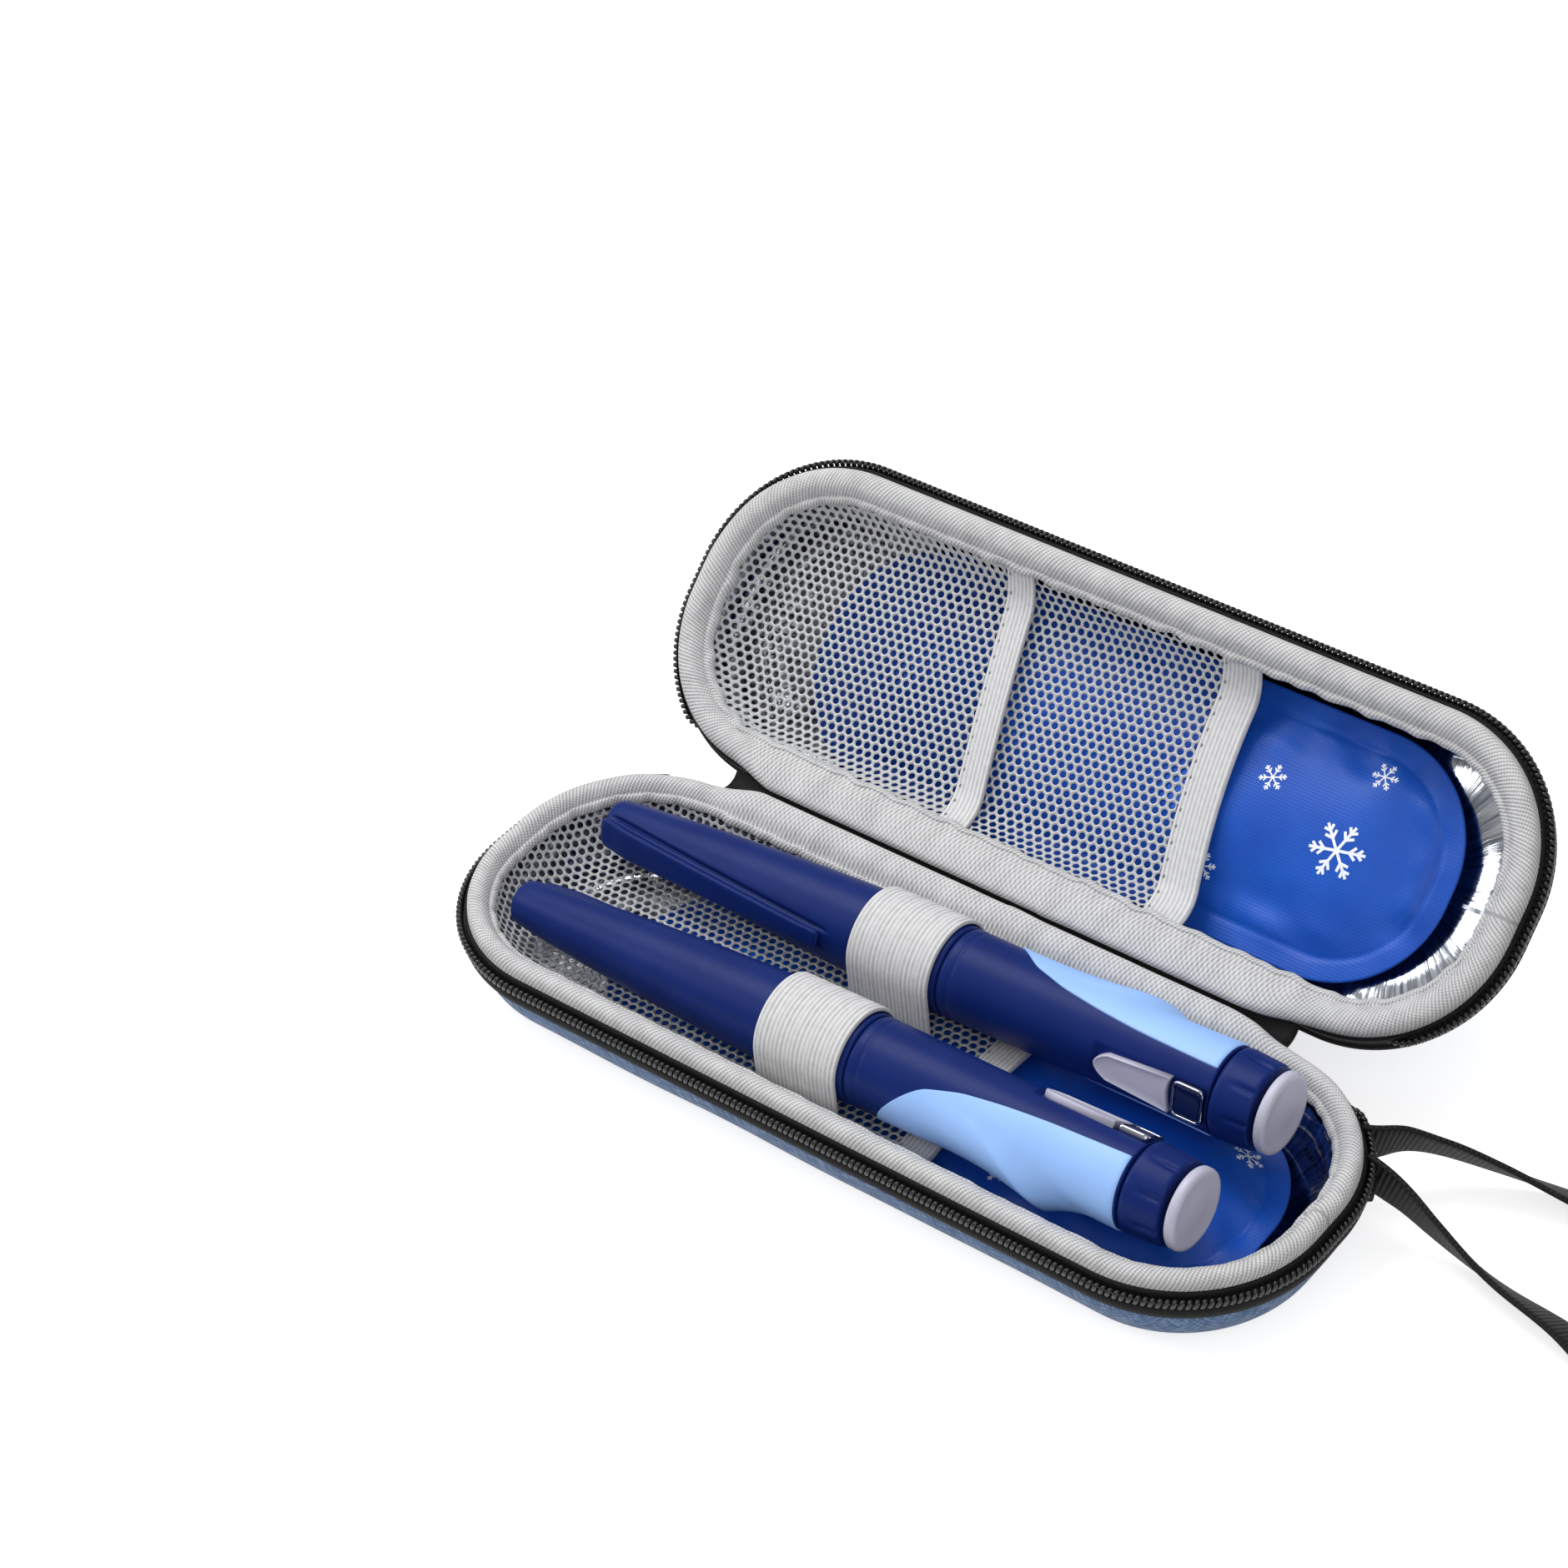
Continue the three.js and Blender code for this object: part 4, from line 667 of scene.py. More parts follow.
COVER = material("melange_polyester", melange_polyester)
FOIL = material("aluminised_film", aluminised_film)
TAPE = material("zip_tape_weave", zip_tape_weave)
COIL = material("zip_coil_nylon", zip_coil_nylon)
BINDING = material("knit_binding", knit_binding)
NET = material("knitted_net", knitted_net)
ELASTIC = material("ribbed_elastic", ribbed_elastic)
THREAD = material("sewing_thread", sewing_thread)
PACK = material("coated_nylon", coated_nylon)
PRINT = material("white_print", white_print)
WEBBING = material("nylon_webbing", nylon_webbing)
NAVY = material("navy_pen_plastic", moulded_plastic, dark="#0b1e5b", light="#12286a", roughness=0.38,
                shine=0.12)
SKY = material("light_blue_grip_plastic", moulded_plastic, dark="#8fb6f0", light="#9cc3fb", roughness=0.45,
               shine=0.3)
LILAC = material("lilac_grey_plastic", moulded_plastic, dark="#aeadc1", light="#c0bfd1", roughness=0.4)
LENS = material("dark_window_lens", moulded_plastic, dark="#0c1436", light="#101a48", roughness=0.12,
                coat=0.6)
WHITE = material("white_sleeve_plastic", moulded_plastic, dark="#d8d8d6", light="#e8e8e6", roughness=0.45)
CHROME = material("chromed_frame", polished_metal, colour="#a9acb8", roughness=0.1)
SLIDER = material("black_nickel_zip_slider", polished_metal, colour="#3c3d41", roughness=0.28)
STEEL = material("steel_piston_rod", polished_metal, colour="#c4c6ca", roughness=0.25)
GLASS = material("cartridge_glass", clear_glass, colour="#eef4f4")

# The solids that stay as they are in the frame.
KEPT = {"zip_slider": SLIDER, "zip_pull": SLIDER}
for side in PENS:
    for part in ("number_sleeve", "drive_sleeve", "cartridge_holder"):
        KEPT[f"{side}_pen_{part}"] = WHITE
    KEPT.update({f"{side}_pen_cartridge": GLASS, f"{side}_pen_piston_rod": STEEL})
for name, finish in KEPT.items():
    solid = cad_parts[name].data
    solid.materials.clear()
    solid.materials.append(finish)


# Camera and wrist strap


def camera():
    """The photograph's view, as solved from the two rims and the pens."""
    eye = bpy.data.cameras.new("camera")
    eye.lens, eye.sensor_width = CAMERA_LENS, CAMERA_SENSOR
    obj = bpy.data.objects.new("camera", eye)
    bpy.context.scene.collection.objects.link(obj)
    turn = Matrix([CAMERA_RIGHT, CAMERA_UP, CAMERA_BACK]).transposed().to_4x4()
    obj.matrix_world = Matrix.Translation([p * MM for p in CAMERA_PLACE]) @ turn
    bpy.context.scene.camera = obj


def wrist_strap():
    """Webbing carried along the route: a flat section with rounded edges, turned by the route's lean."""
    stations, around = 260, 28
    route = np.array(STRAP_ROUTE, float)
    path = smooth_path(route[:, :3], stations)
    run = section_lengths(path)
    near = np.linalg.norm(path[:, None] - route[None, :, :3], axis=-1).argmin(0)
    lean = smoothed(np.radians(np.interp(run, run[near], route[:, 3])), 8)
    along = unit(np.gradient(path, axis=0))
    up = unit(np.array([0, 0, 1.0]) - along * along[:, 2:])
    side = np.cross(along, up)
    turn = np.linspace(0, 2 * math.pi, around, endpoint=False)
    wide = STRAP_WIDTH / 2 * squared(np.cos(turn), 0.35)
    thick = STRAP_WALL / 2 * squared(np.sin(turn), 0.35)
    c, s = np.cos(lean)[:, None], np.sin(lean)[:, None]
    rise, out = wide[None] * c - thick[None] * s, thick[None] * c + wide[None] * s
    points = path[:, None] + up[:, None] * rise[..., None] + side[:, None] * out[..., None]
    uv = np.stack(np.broadcast_arrays(run[:, None], wide[None, :]), -1)
    strap = piece("wrist_strap_webbing", points, grid_faces(stations, around, False, True), WEBBING,
                  "case_base", "webbing", uv=uv, replaces=["wrist_strap"])


camera()
wrist_strap()


# Case halves


def cover(half):
    """Padded cover: the wall curve carried round the rim and drawn in to the middle, with its thickness."""
    s = rim_stations(1.5)
    outer, inner = wall_curve(0, 22)[::-1], wall_curve(COVER_WALL, 14)
    drawn = np.array([1.0, 0.66, 0.33, 0.12])
    rings = len(drawn)
    section = np.concatenate([
        np.repeat(outer[:1], rings, 0), outer, [(-0.7, COVER_TOP), (-1.5, COVER_TOP)], inner,
        np.repeat(inner[-1:], rings, 0)])
    share, down = np.zeros(len(section)), np.zeros(len(section))
    share[:rings], share[-rings:] = drawn, drawn[::-1]
    down[rings:rings + len(outer)] = section_lengths(outer)
    points = dish(RIM, section[:, 0], section[:, 1], share, s)
    _, normal = RIM.at(s)
    cloth = points[..., :2] + normal[None] * down[:, None, None]
    # Soft lumps 45 mm long in the padding, which fade towards the underside.
    lump = ripple(points[..., 0], points[..., 1], 45, 4) * 0.25 * ease(points[..., 2] / 3)
    points[..., :2] += normal[None] * lump[..., None]
    half_piece(half, "cover_cloth", points, grid_faces(len(section), len(s), False, True), COVER,
               "cover_fabric", uv=cloth, replaces=[f"{half}_outer_cover", f"{half}_foam_shell"])


def foil(half):
    """Foil lining: the liner's wall and floor, fluted by ripples, with a film's thickness below."""
    s = rim_stations(1.1)
    wall = wall_curve(LINER_DEPTH, 26)
    drawn = np.linspace(0, 1, 14)[1:]
    section = np.concatenate([[LINER_TOP], wall, np.repeat(wall[-1:], len(drawn), 0)])
    share = np.concatenate([np.zeros(1 + len(wall)), drawn])
    top = dish(RIM, section[:, 0], section[:, 1], share, s)
    _, normal = RIM.at(s)
    round_, down = np.meshgrid(s, section_lengths(section - np.stack([20 * share, 0 * share], -1)))
    # Flutes 5 and 2.6 mm apart on the wall, and a floor with faint waves of 14 mm.
    flute = ripple(round_, down / 6, 5, 11) + 0.6 * ripple(round_, down / 3, 2.6, 12)
    top[..., :2] += normal[None] * (0.07 * flute * ease((top[..., 2] - 6) / 3))[..., None]
    top[..., 2] -= 0.6 + 0.1 * ripple(top[..., 0], top[..., 1], 14, 13)
    # The ends slope up to the wall.
    inside = RIM.inset(top[..., 0], top[..., 1])
    height, start, run, fall = LINER_RISE[half]
    rise = height * ease((start - inside) / run) * ease((inside - 4) / fall) * ease((16 - top[..., 2]) / 4)
    top[..., 2] += rise * ease((np.abs(top[..., 0]) - 62) / 18)
    under = top - np.array([0, 0, LINER_WALL])
    points = np.concatenate([top, under[::-1]])
    uv = np.stack([round_, down], -1)
    half_piece(half, "foil_lining", points, grid_faces(len(points), len(s), True, True), FOIL, "foil",
               uv=np.concatenate([uv, uv[::-1]]), replaces=[f"{half}_foil_liner"])


def binding(half):
    """Rolled binding with a narrow lip inside it: a smooth section carried round and gently puckered.

    Along the hinge it swells to meet the other half's, and its two ends lap there in a slanting step."""
    s = rim_stations(0.8)
    point, normal = RIM.at(s)
    hinge_side = ease(((normal[:, 1] if half == "base" else -normal[:, 1]) - 0.8) / 0.2)
    swell = hinge_side * ease((74 - np.abs(point[:, 0])) / 14)
    swell *= 1 - 0.3 * ease((point[:, 0] - 54) / 14)
    plain, wide = smooth_loop(BINDING_SECTION, 44), smooth_loop(HINGE_SECTION, 44)
    section = plain[None] + (wide - plain)[None] * swell[:, None, None]
    section[..., 0] *= np.where(section[..., 0] < 0, BINDING_WIDTH[half], 1.0)
    # The lap: past the slanting join the section grows, more inside the rim, and shrinks back.
    slant = point[:, :1] - BINDING_JOIN[half] + 0.5 * (section[..., 0] + 3)
    lap = ease(slant / 0.7) * ease((10 - slant) / 8) * hinge_side[:, None]
    grow = np.where(section[..., :1] > 0, [0.02, 0.05], [0.13, 0.07])
    section += (section - np.array([-3.4, 18.4])) * grow * lap[..., None]
    points, uv, faces = rim_sweep(section, s)
    # Puckers 14 mm long on the roll and 6 mm long on the lip.
    pucker = ripple(s, 0 * s, 14, BINDING_SEED[half]) * (0.16 - 0.12 * swell)
    on_lip = ease((-section[..., 0] / BINDING_WIDTH[half] - 6.1) / 0.7)
    lip = on_lip * ripple(s, 0 * s, 6, BINDING_SEED[half] + 1)[:, None]
    points[..., 2] += pucker[:, None] * ease((points[..., 2] - 16) / 4) + 0.2 * lip
    points[..., :2] += normal[:, None] * (0.3 * lip)[..., None]
    half_piece(half, "binding_roll", points, faces, BINDING, "binding_fabric", uv=uv,
               replaces=[f"{half}_rim_binding"])


def tape(half):
    """Zip tape and welt: a smooth closed section carried round the outside of the binding."""
    points, uv, faces = rim_sweep(smooth_loop(TAPE_SECTION, 36), rim_stations(1.2))
    half_piece(half, "zip_tape_band", points, faces, TAPE, "zip_black", uv=uv,
               replaces=[f"{half}_zip_tape"])


def coil(half):
    """Zip coil: a helix of nylon wound about the rim, one turn to a tooth, of flattened wire.

    Over its last 7 mm either end tucks in behind the tape and winds closer."""
    start, end = (RIM.turn(angle) for angle in COIL_TURNS[half])
    turns = int((end - start) / COIL_PITCH)
    steps, around = turns * 10 + 1, 6
    turn = np.linspace(0, 2 * math.pi * turns, steps)
    s = np.linspace(start, end, steps)
    point, normal = RIM.at(s)
    full = ease(np.minimum(s - start, end - s) / 7)
    middle_out, middle_up = COIL_OFFSET - 2.0 * (1 - full), COIL_Z - 0.6 * (1 - full)
    out = middle_out + (0.2 + 0.22 * full) * np.cos(turn)
    up = middle_up + (0.3 + 0.45 * full) * np.sin(turn)
    path = np.concatenate([point + normal * out[:, None], up[:, None]], -1)
    middle = np.concatenate([point + normal * middle_out[:, None], middle_up[:, None]], -1)
    along = unit(np.gradient(path, axis=0))
    first = path - middle
    first = unit(first - along * (first * along).sum(1, keepdims=True))
    second = np.cross(along, first)
    angle = (np.arange(around) * 2 * math.pi / around)[None, :, None]
    ring = COIL_WIRE[0] * first[:, None] * np.cos(angle) + COIL_WIRE[1] * second[:, None] * np.sin(angle)
    half_piece(half, "zip_coil_teeth", path[:, None] + ring, grid_faces(steps, around, False, True), COIL,
               "coil_nylon", replaces=[f"{half}_zip_coil"])


def pocket_height(level, x, y, lip):
    """Height of a net pocket: its level in the middle, rising as a square to the binding's lip."""
    edge = 1 - np.clip((RIM.inset(x, y) - lip) / POCKET_EDGE, 0, 1)
    return level + (POCKET_LIP_Z - level) * edge**2


def pocket_mouth(y, end, bow, lean):
    """Where a pocket ends along the case: bowed back in the middle, and leaning."""
    return end - bow * (1 - (y / MOUTH_HALF) ** 2) - lean * y


def hem_band(half, name, level, end, hem, lip, bow, lean):
    """Elastic hem: a corded band across the pocket's mouth, lifted at its free edge, with stitches."""
    rows, samples, ribs, half_length = 90, 64, 8, 28.4
    y = np.linspace(-half_length, half_length, rows)
    w = np.linspace(0, 1, samples)
    edge = np.clip(np.minimum(w, 1 - w) / 0.05, 0, 1)
    thick = 0.25 + 0.45 * np.sqrt(edge) + 0.05 * np.abs(np.sin(math.pi * ribs * w)) * edge
    across = np.concatenate([w, w[::-1]])
    high = np.concatenate([thick, -0.2 - 0.25 * np.sqrt(edge)])
    x = pocket_mouth(y, end, bow, lean)[:, None] + hem * across[None, :]
    yy = np.broadcast_to(y[:, None], x.shape)
    lift = (1 - (yy / MOUTH_HALF) ** 2) * across[None, :]
    z = pocket_height(level + 0.4, x, yy, lip) + high[None, :] + lift
    uv = np.stack(np.broadcast_arrays(y[:, None], hem * across[None, :]), -1)
    faces = grid_faces(rows, 2 * samples, False, True)
    band = half_piece(half, f"{name}_elastic", np.stack([x, yy, z], -1), faces, ELASTIC, "elastic_fabric",
                      uv=uv, replaces=[HEM_NODES[name]])
    # Stitches 3.4 mm apart, 1.1 mm in from the net's side of the band.
    y = np.arange(-25.5, 26, 3.4)
    x = pocket_mouth(y, end, bow, lean) + 1.1
    z = pocket_height(level + 0.4, x, y, lip) + 0.82
    points, faces = spindles(np.stack([x, y, z], -1), 0.4, 0.26)
    return [band, half_piece(half, f"{name}_stitches", points, faces, THREAD, "elastic_fabric")]


def net(half, name, level, end, hem, lip=6.8, skew=0.0, bow=2.2, lean=0.0, start=(0.0, 0.0)):
    """Net pocket: hexagonal cells, each a ring of rounded yarn about a hole, laid on the pocket's height.

    The rows of cells run at the skew, through a cell at the start. At the pocket's edge the cells keep
    their size along the cloth that rises there, so in plan they are drawn together."""
    rows, around = 60, 12
    plan = np.linspace(0, POCKET_EDGE, 60)
    cloth = section_lengths(np.stack([plan, (POCKET_LIP_Z - level) * (1 - plan / POCKET_EDGE) ** 2], -1))
    spare = cloth[-1] - plan[-1]
    # Middles of the cells on the flat cloth.
    col, row = np.meshgrid(np.arange(-rows, rows + 1), np.arange(-rows, rows + 1))
    u, v = NET_PITCH * (col + row % 2 / 2), NET_PITCH * math.cos(math.pi / 6) * row
    x = (start[0] + u * math.cos(skew) - v * math.sin(skew)).ravel()
    y = (start[1] + u * math.sin(skew) + v * math.cos(skew)).ravel()
    kept = (RIM.inset(x, y) > lip + 0.1 - spare) & (x < pocket_mouth(y, end, bow, lean) + 0.6)
    centre = np.stack([x[kept], y[kept]], -1)
    # Each cell's outer hexagon, a hair too large so that neighbours meet, and its rounder hole.
    at_corner = np.arange(around) % 2 == 0
    turn = (np.arange(around) + 1) * math.pi / 6 + skew
    rim = np.stack([np.cos(turn), np.sin(turn)], -1)
    reach = NET_PITCH / 2 * np.where(at_corner, 1 / math.cos(math.pi / 6), 1.0)
    hole = NET_PITCH * np.where(at_corner, *NET_HOLE)
    flat = centre[:, None, None] + np.stack([rim * reach[:, None] * 1.001, rim * hole[:, None]])[None]
    # From the flat cloth to plan: each point moves inwards by the length that the rising edge takes up.
    inside = RIM.inset(flat[..., 0], flat[..., 1])
    run = inside - lip + spare
    move = np.where(run < cloth[-1], np.interp(run, cloth, plan), run - spare) + lip - inside
    nudge = 0.01
    inward = np.stack([RIM.inset(flat[..., 0] + nudge, flat[..., 1]) - inside,
                       RIM.inset(flat[..., 0], flat[..., 1] + nudge) - inside], -1) / nudge
    flat = flat + inward * move[..., None]
    z = pocket_height(level, flat[..., 0], flat[..., 1], lip)
    z = z + ripple(flat[..., 0], flat[..., 1], 30, 31) * 0.25
    ridge = np.array([NET_WALL / 2, -0.03])[None, :, None]
    top = np.concatenate([flat, (z + ridge)[..., None]], -1)
    low = np.concatenate([flat, (z - ridge - 0.1)[..., None]], -1)[:, ::-1]
    # The walls between neighbouring cells are inside the yarn, so each cell keeps only the faces that show.
    faces = repeated(grid_faces(4, around, False, True), 4 * around, len(centre))
    made = half_piece(half, f"{name}_netting", np.concatenate([top, low], 1), faces, NET, "mesh_fabric",
                      closed=False, replaces=[f"{half}_{name}"])
    hem_band(half, name, level, end, hem, lip, bow, lean)


def hinge_cloth():
    """Hinge: a band of black cloth bent round under the hinge line, from the base's tape to the lid's."""
    rows, steps = 90, 24
    bend = np.radians(np.linspace(*HINGE_BEND, steps))
    radius = np.repeat(HINGE_RADII, steps)
    angle = np.concatenate([bend, bend[::-1]])
    loop = np.stack([HINGE_Y + radius * np.cos(angle), HINGE_Z + radius * np.sin(angle)], -1)
    x = np.linspace(-HINGE_HALF - 3, HINGE_HALF, rows)
    points = np.stack(np.broadcast_arrays(x[:, None], loop[None, :, 0], loop[None, :, 1]), -1)
    uv = np.stack(np.broadcast_arrays(x[:, None], section_lengths(loop)[None, :]), -1)
    cloth = piece("hinge_cloth", points, grid_faces(rows, 2 * steps, False, True), TAPE, None, "zip_black",
                  uv=uv, replaces=["hinge_strip"])
    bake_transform(cloth)


def strap_tab():
    """Strap tab: a webbing patch sewn over the tape at the right rear corner."""
    start, end = (RIM.turn(angle) for angle in TAB_TURNS)
    points, uv, faces = rim_sweep(smooth_loop(TAB_SECTION, 30), rim_stations(0.6, start, end), wrap=False)
    piece("strap_tab", points, faces, WEBBING, "case_base", "webbing", uv=uv, replaces=["strap_anchor"])


for half in HALVES:
    cover(half)
    foil(half)
    binding(half)
    tape(half)
    coil(half)
for (half, name), sizes in POCKETS.items():
    net(half, name, **sizes)
hinge_cloth()
strap_tab()


# Gel packs


def pack_height(half, x):
    """Height of the pack's crown above its flange: even in the lid, and fuller past the net in the base."""
    if half == "lid":
        return 3.4 + 0 * x
    return 2.6 + 3.9 * ease((x - 28) / 26)


def pack_top(half, outline, x, y):
    """Height of the front cloth: flat at the welded flange, then a pillow that swells to the crown.

    Broad dents lie on the pillow, gathers and a pressed line along the weld; the flange curls a little."""
    inside = outline.inset(x, y)
    rise = np.clip((inside - PACK_FLANGE) / (PACK_WIDTH / 2 - PACK_FLANGE), 0, 1)
    pillow = (1 - (1 - rise) ** 2.0) ** 1.1
    dent = ripple(x, y, 26, PACK_SEED[half]) * 0.6 * pillow
    gather = ripple(x, y, 11, 43) * 0.8 * np.exp(-((inside - PACK_FLANGE - 2) / 4) ** 2)
    weld = -0.24 * np.exp(-((inside - PACK_FLANGE + 0.4) / 0.6) ** 2)
    dimple = -1.1 * np.exp(-((x - 47) / 8) ** 2 - ((y + 15) / 4.5) ** 2) if half == "lid" else 0.0
    curl = 0.35 * ripple(x, y, 30, 44) * np.clip(1 - inside / PACK_FLANGE, 0, 1)
    return PACK_EDGE_Z + PACK_FILM + pack_height(half, x) * pillow + dent + gather + weld + dimple + curl


def gel_pack(half):
    """Gel pack: rings from its welded edge to its middle line, a pillow above and a shallow belly below."""
    rings, around = 60, 360
    outline = Outline(PACK_LENGTH, PACK_WIDTH, PACK_CORNER, PACK_X[half])
    share = np.linspace(0, 1, rings)
    flat = dish(outline, 0 * share, 0 * share, share, outline.round(around))[..., :2]
    top = pack_top(half, outline, flat[..., 0], flat[..., 1])
    belly = PACK_EDGE_Z - PACK_FILM - 1.0 * ease(share / 0.4)
    under = np.broadcast_to(belly[:, None], top.shape)
    points = np.concatenate([
        np.concatenate([flat[::-1], top[::-1, :, None]], -1), np.concatenate([flat, under[..., None]], -1)])
    made = half_piece(half, "gel_pack", points, grid_faces(2 * rings, around, False, True), PACK,
                      "pack_film", body=f"{half}_pack", uv=points[..., :2],
                      replaces=[f"{half}_pack_{layer}" for layer in ("back_film", "gel", "front_film")])
    return outline


def snowflake(half, outline, number, x, y, reach, turn):
    """Printed flake: six arms, each a bar with two pairs of slanting barbs, laid just above the cloth."""
    bars = []
    for arm in range(6):
        lean = turn + arm * math.pi / 3
        bars.append((0.0, 0.0, lean, 1.0))
        for at, length in ((0.45, 0.3), (0.72, 0.24)):
            for side in (-1, 1):
                bars.append((at * math.cos(lean), at * math.sin(lean), lean + side * math.pi / 4, length))
    bars = np.array(bars)
    steps = 7
    corner = np.stack(np.meshgrid(np.linspace(0, 1, steps), [-FLAKE_BAR, FLAKE_BAR], indexing="ij"), -1)
    corner = corner.reshape(-1, 2)
    c, s = np.cos(bars[:, 2])[:, None], np.sin(bars[:, 2])[:, None]
    run, off = corner[None, :, 0] * bars[:, 3:4], corner[None, :, 1]
    px = x + reach * (bars[:, :1] + run * c - off * s)
    py = y + reach * (bars[:, 1:2] + run * s + off * c)
    # Each bar lies a little above the last, so that none share a face.
    z = pack_top(half, outline, px, py) + 0.06 + 0.004 * np.arange(len(bars))[:, None] / len(bars)
    faces = repeated(grid_faces(steps, 2), 2 * steps, len(bars))
    half_piece(half, f"pack_flake_{number}", np.stack([px, py, z], -1), faces, PRINT, "pack_film",
               body=f"{half}_pack", closed=False)


outlines = {half: gel_pack(half) for half in HALVES}
for half, flakes in FLAKES.items():
    for number, flake in enumerate(flakes, 1):
        snowflake(half, outlines[half], number, *flake)


# Pens


def pen_place(side, local, turn):
    """A pen's own frame (along the pen, across, up) turned about the pen, tilted and set in its place."""
    roll, tilt = math.radians(turn), math.radians(PEN_TILT)
    y = local[..., 1] * math.cos(roll) - local[..., 2] * math.sin(roll)
    z = local[..., 1] * math.sin(roll) + local[..., 2] * math.cos(roll)
    x = local[..., 0] * math.cos(tilt) - z * math.sin(tilt)
    z = local[..., 0] * math.sin(tilt) + z * math.cos(tilt)
    return np.stack([x + PEN_TIP_X, y + PENS[side]["y"], z + PEN_TIP_Z], -1)


def pen_piece(side, name, solid, points, faces, finish, body, slot, turn=0.0):
    """A piece shaped in the pen's own frame, which takes the place of one of the pen's solids."""
    return piece(f"{side}_pen_{name}", pen_place(side, points, turn), faces, finish, f"{side}_{body}", slot,
                 replaces=[f"{side}_pen_{solid}"])


def turned(along, radius, count):
    """A turned surface: rows of (along, radius) carried round; radius may vary with the angle."""
    angle = np.arange(count) * 2 * math.pi / count
    radius = np.broadcast_to(radius if radius.ndim == 2 else radius[:, None], (len(along), count))
    x = np.broadcast_to(along[:, None], radius.shape)
    return np.stack([x, radius * np.sin(angle), radius * np.cos(angle)], -1)


def clip_width(s):
    """Half the clip's width along the cap: broad near the tip, drawn in to its toe."""
    return 3.2 - 1.4 * np.clip((s - 8) / 52, 0, 1) ** 1.2 - 0.8 * ease((2.5 - s) / 2.5) ** 2


def pen_cap(side):
    """Cap: a turned taper with a rounded flat tip, a soft lip at its mouth and a hollow inside.

    A groove follows each edge of the clip, sunk into the radius."""
    around = 240
    taper = np.linspace(TIP_END, CAP_END - 0.5, 90)
    outside = np.concatenate([CAP_TIP, np.stack([taper, np.polyval(CAP_TAPER, taper)], -1)])
    along, radius = np.concatenate([outside, CAP_MOUTH]).T
    angle = np.arange(around) * 2 * math.pi / around
    reach = np.arcsin(np.clip(clip_width(along) / np.maximum(radius, 4), 0, 1))
    clip = -math.radians(PENS[side]["clip"])
    away = np.abs((angle[None] - clip + math.pi) % (2 * math.pi) - math.pi)
    off = (away - reach[:, None]) * radius[:, None]
    groove = 0.8 * np.exp(-(off / 0.45) ** 2) * (ease((along - 1) / 3) * ease((62.5 - along) / 3))[:, None]
    groove[len(outside):] = 0
    points = turned(along, radius[:, None] - groove, around)
    pen_piece(side, "cap_shell", "cap", points, grid_faces(len(along), around, False, True), NAVY,
              "cap", "pen_navy")


def pen_clip(side):
    """Clip: a flat bar with rounded edges along the cap, which stands off it and ends in a toe."""
    rows, around = 60, 24
    s = np.linspace(0.5, 60.7, rows)
    gap = 0.7 - 0.7 * ease((9 - s) / 7) - 0.3 * ease((s - 55) / 5)
    height = np.polyval(CAP_TAPER, s) + gap + 0.55 - 0.5 * ease((2 - s) / 2)
    turn = np.linspace(0, 2 * math.pi, around, endpoint=False)
    points = np.stack(np.broadcast_arrays(
        s[:, None], clip_width(s)[:, None] * squared(np.cos(turn), 0.45)[None],
        height[:, None] + 0.75 * squared(np.sin(turn), 0.45)[None]), -1)
    pen_piece(side, "clip_bar", "cap_clip", points, grid_faces(rows, around, False, True), NAVY, "cap",
              "pen_navy", PENS[side]["clip"])


def pen_barrel(side):
    """Barrel: a turned body with a neck, a fine ring groove, a flat for the badge and window, and a bore.

    On the flat the radius is capped at its height over the cosine of the angle."""
    around, neck, neck_start, bore, flat_height = 160, 7.5, 80.6, 5.6, 8.0
    s = np.concatenate([
        [neck_start, 89.5], np.linspace(BARREL_START, BARREL_END - 0.3, 150),
        [BARREL_END - 0.1, BARREL_END]])
    outer = np.polyval(BARREL_TAPER, np.clip(s, BARREL_START, BARREL_END))
    outer[:2] = neck
    outer[2] -= 0.25
    outer[-2:] -= [0.15, 0.45]
    outer = outer - np.exp(-((s - 92.2) / 0.22) ** 2) * 0.22
    lean = np.cos(np.arange(around) * 2 * math.pi / around)
    flat = np.where(lean > 0.3, flat_height / np.maximum(lean, 1e-3), 99.0)
    on_flat = ((s > 126.6) & (s < 152.5))[:, None]
    radius = np.repeat(outer[:, None], around, 1)
    radius = np.where(on_flat, np.minimum(radius, flat[None]), radius)
    radius = np.concatenate([radius, np.full((2, around), bore)])
    along = np.concatenate([s, [BARREL_END, neck_start]])
    pen_piece(side, "barrel_body", "barrel", turned(along, radius, around),
              grid_faces(len(along), around, True, True), NAVY, "pen", "pen_navy", PENS[side]["badge"])


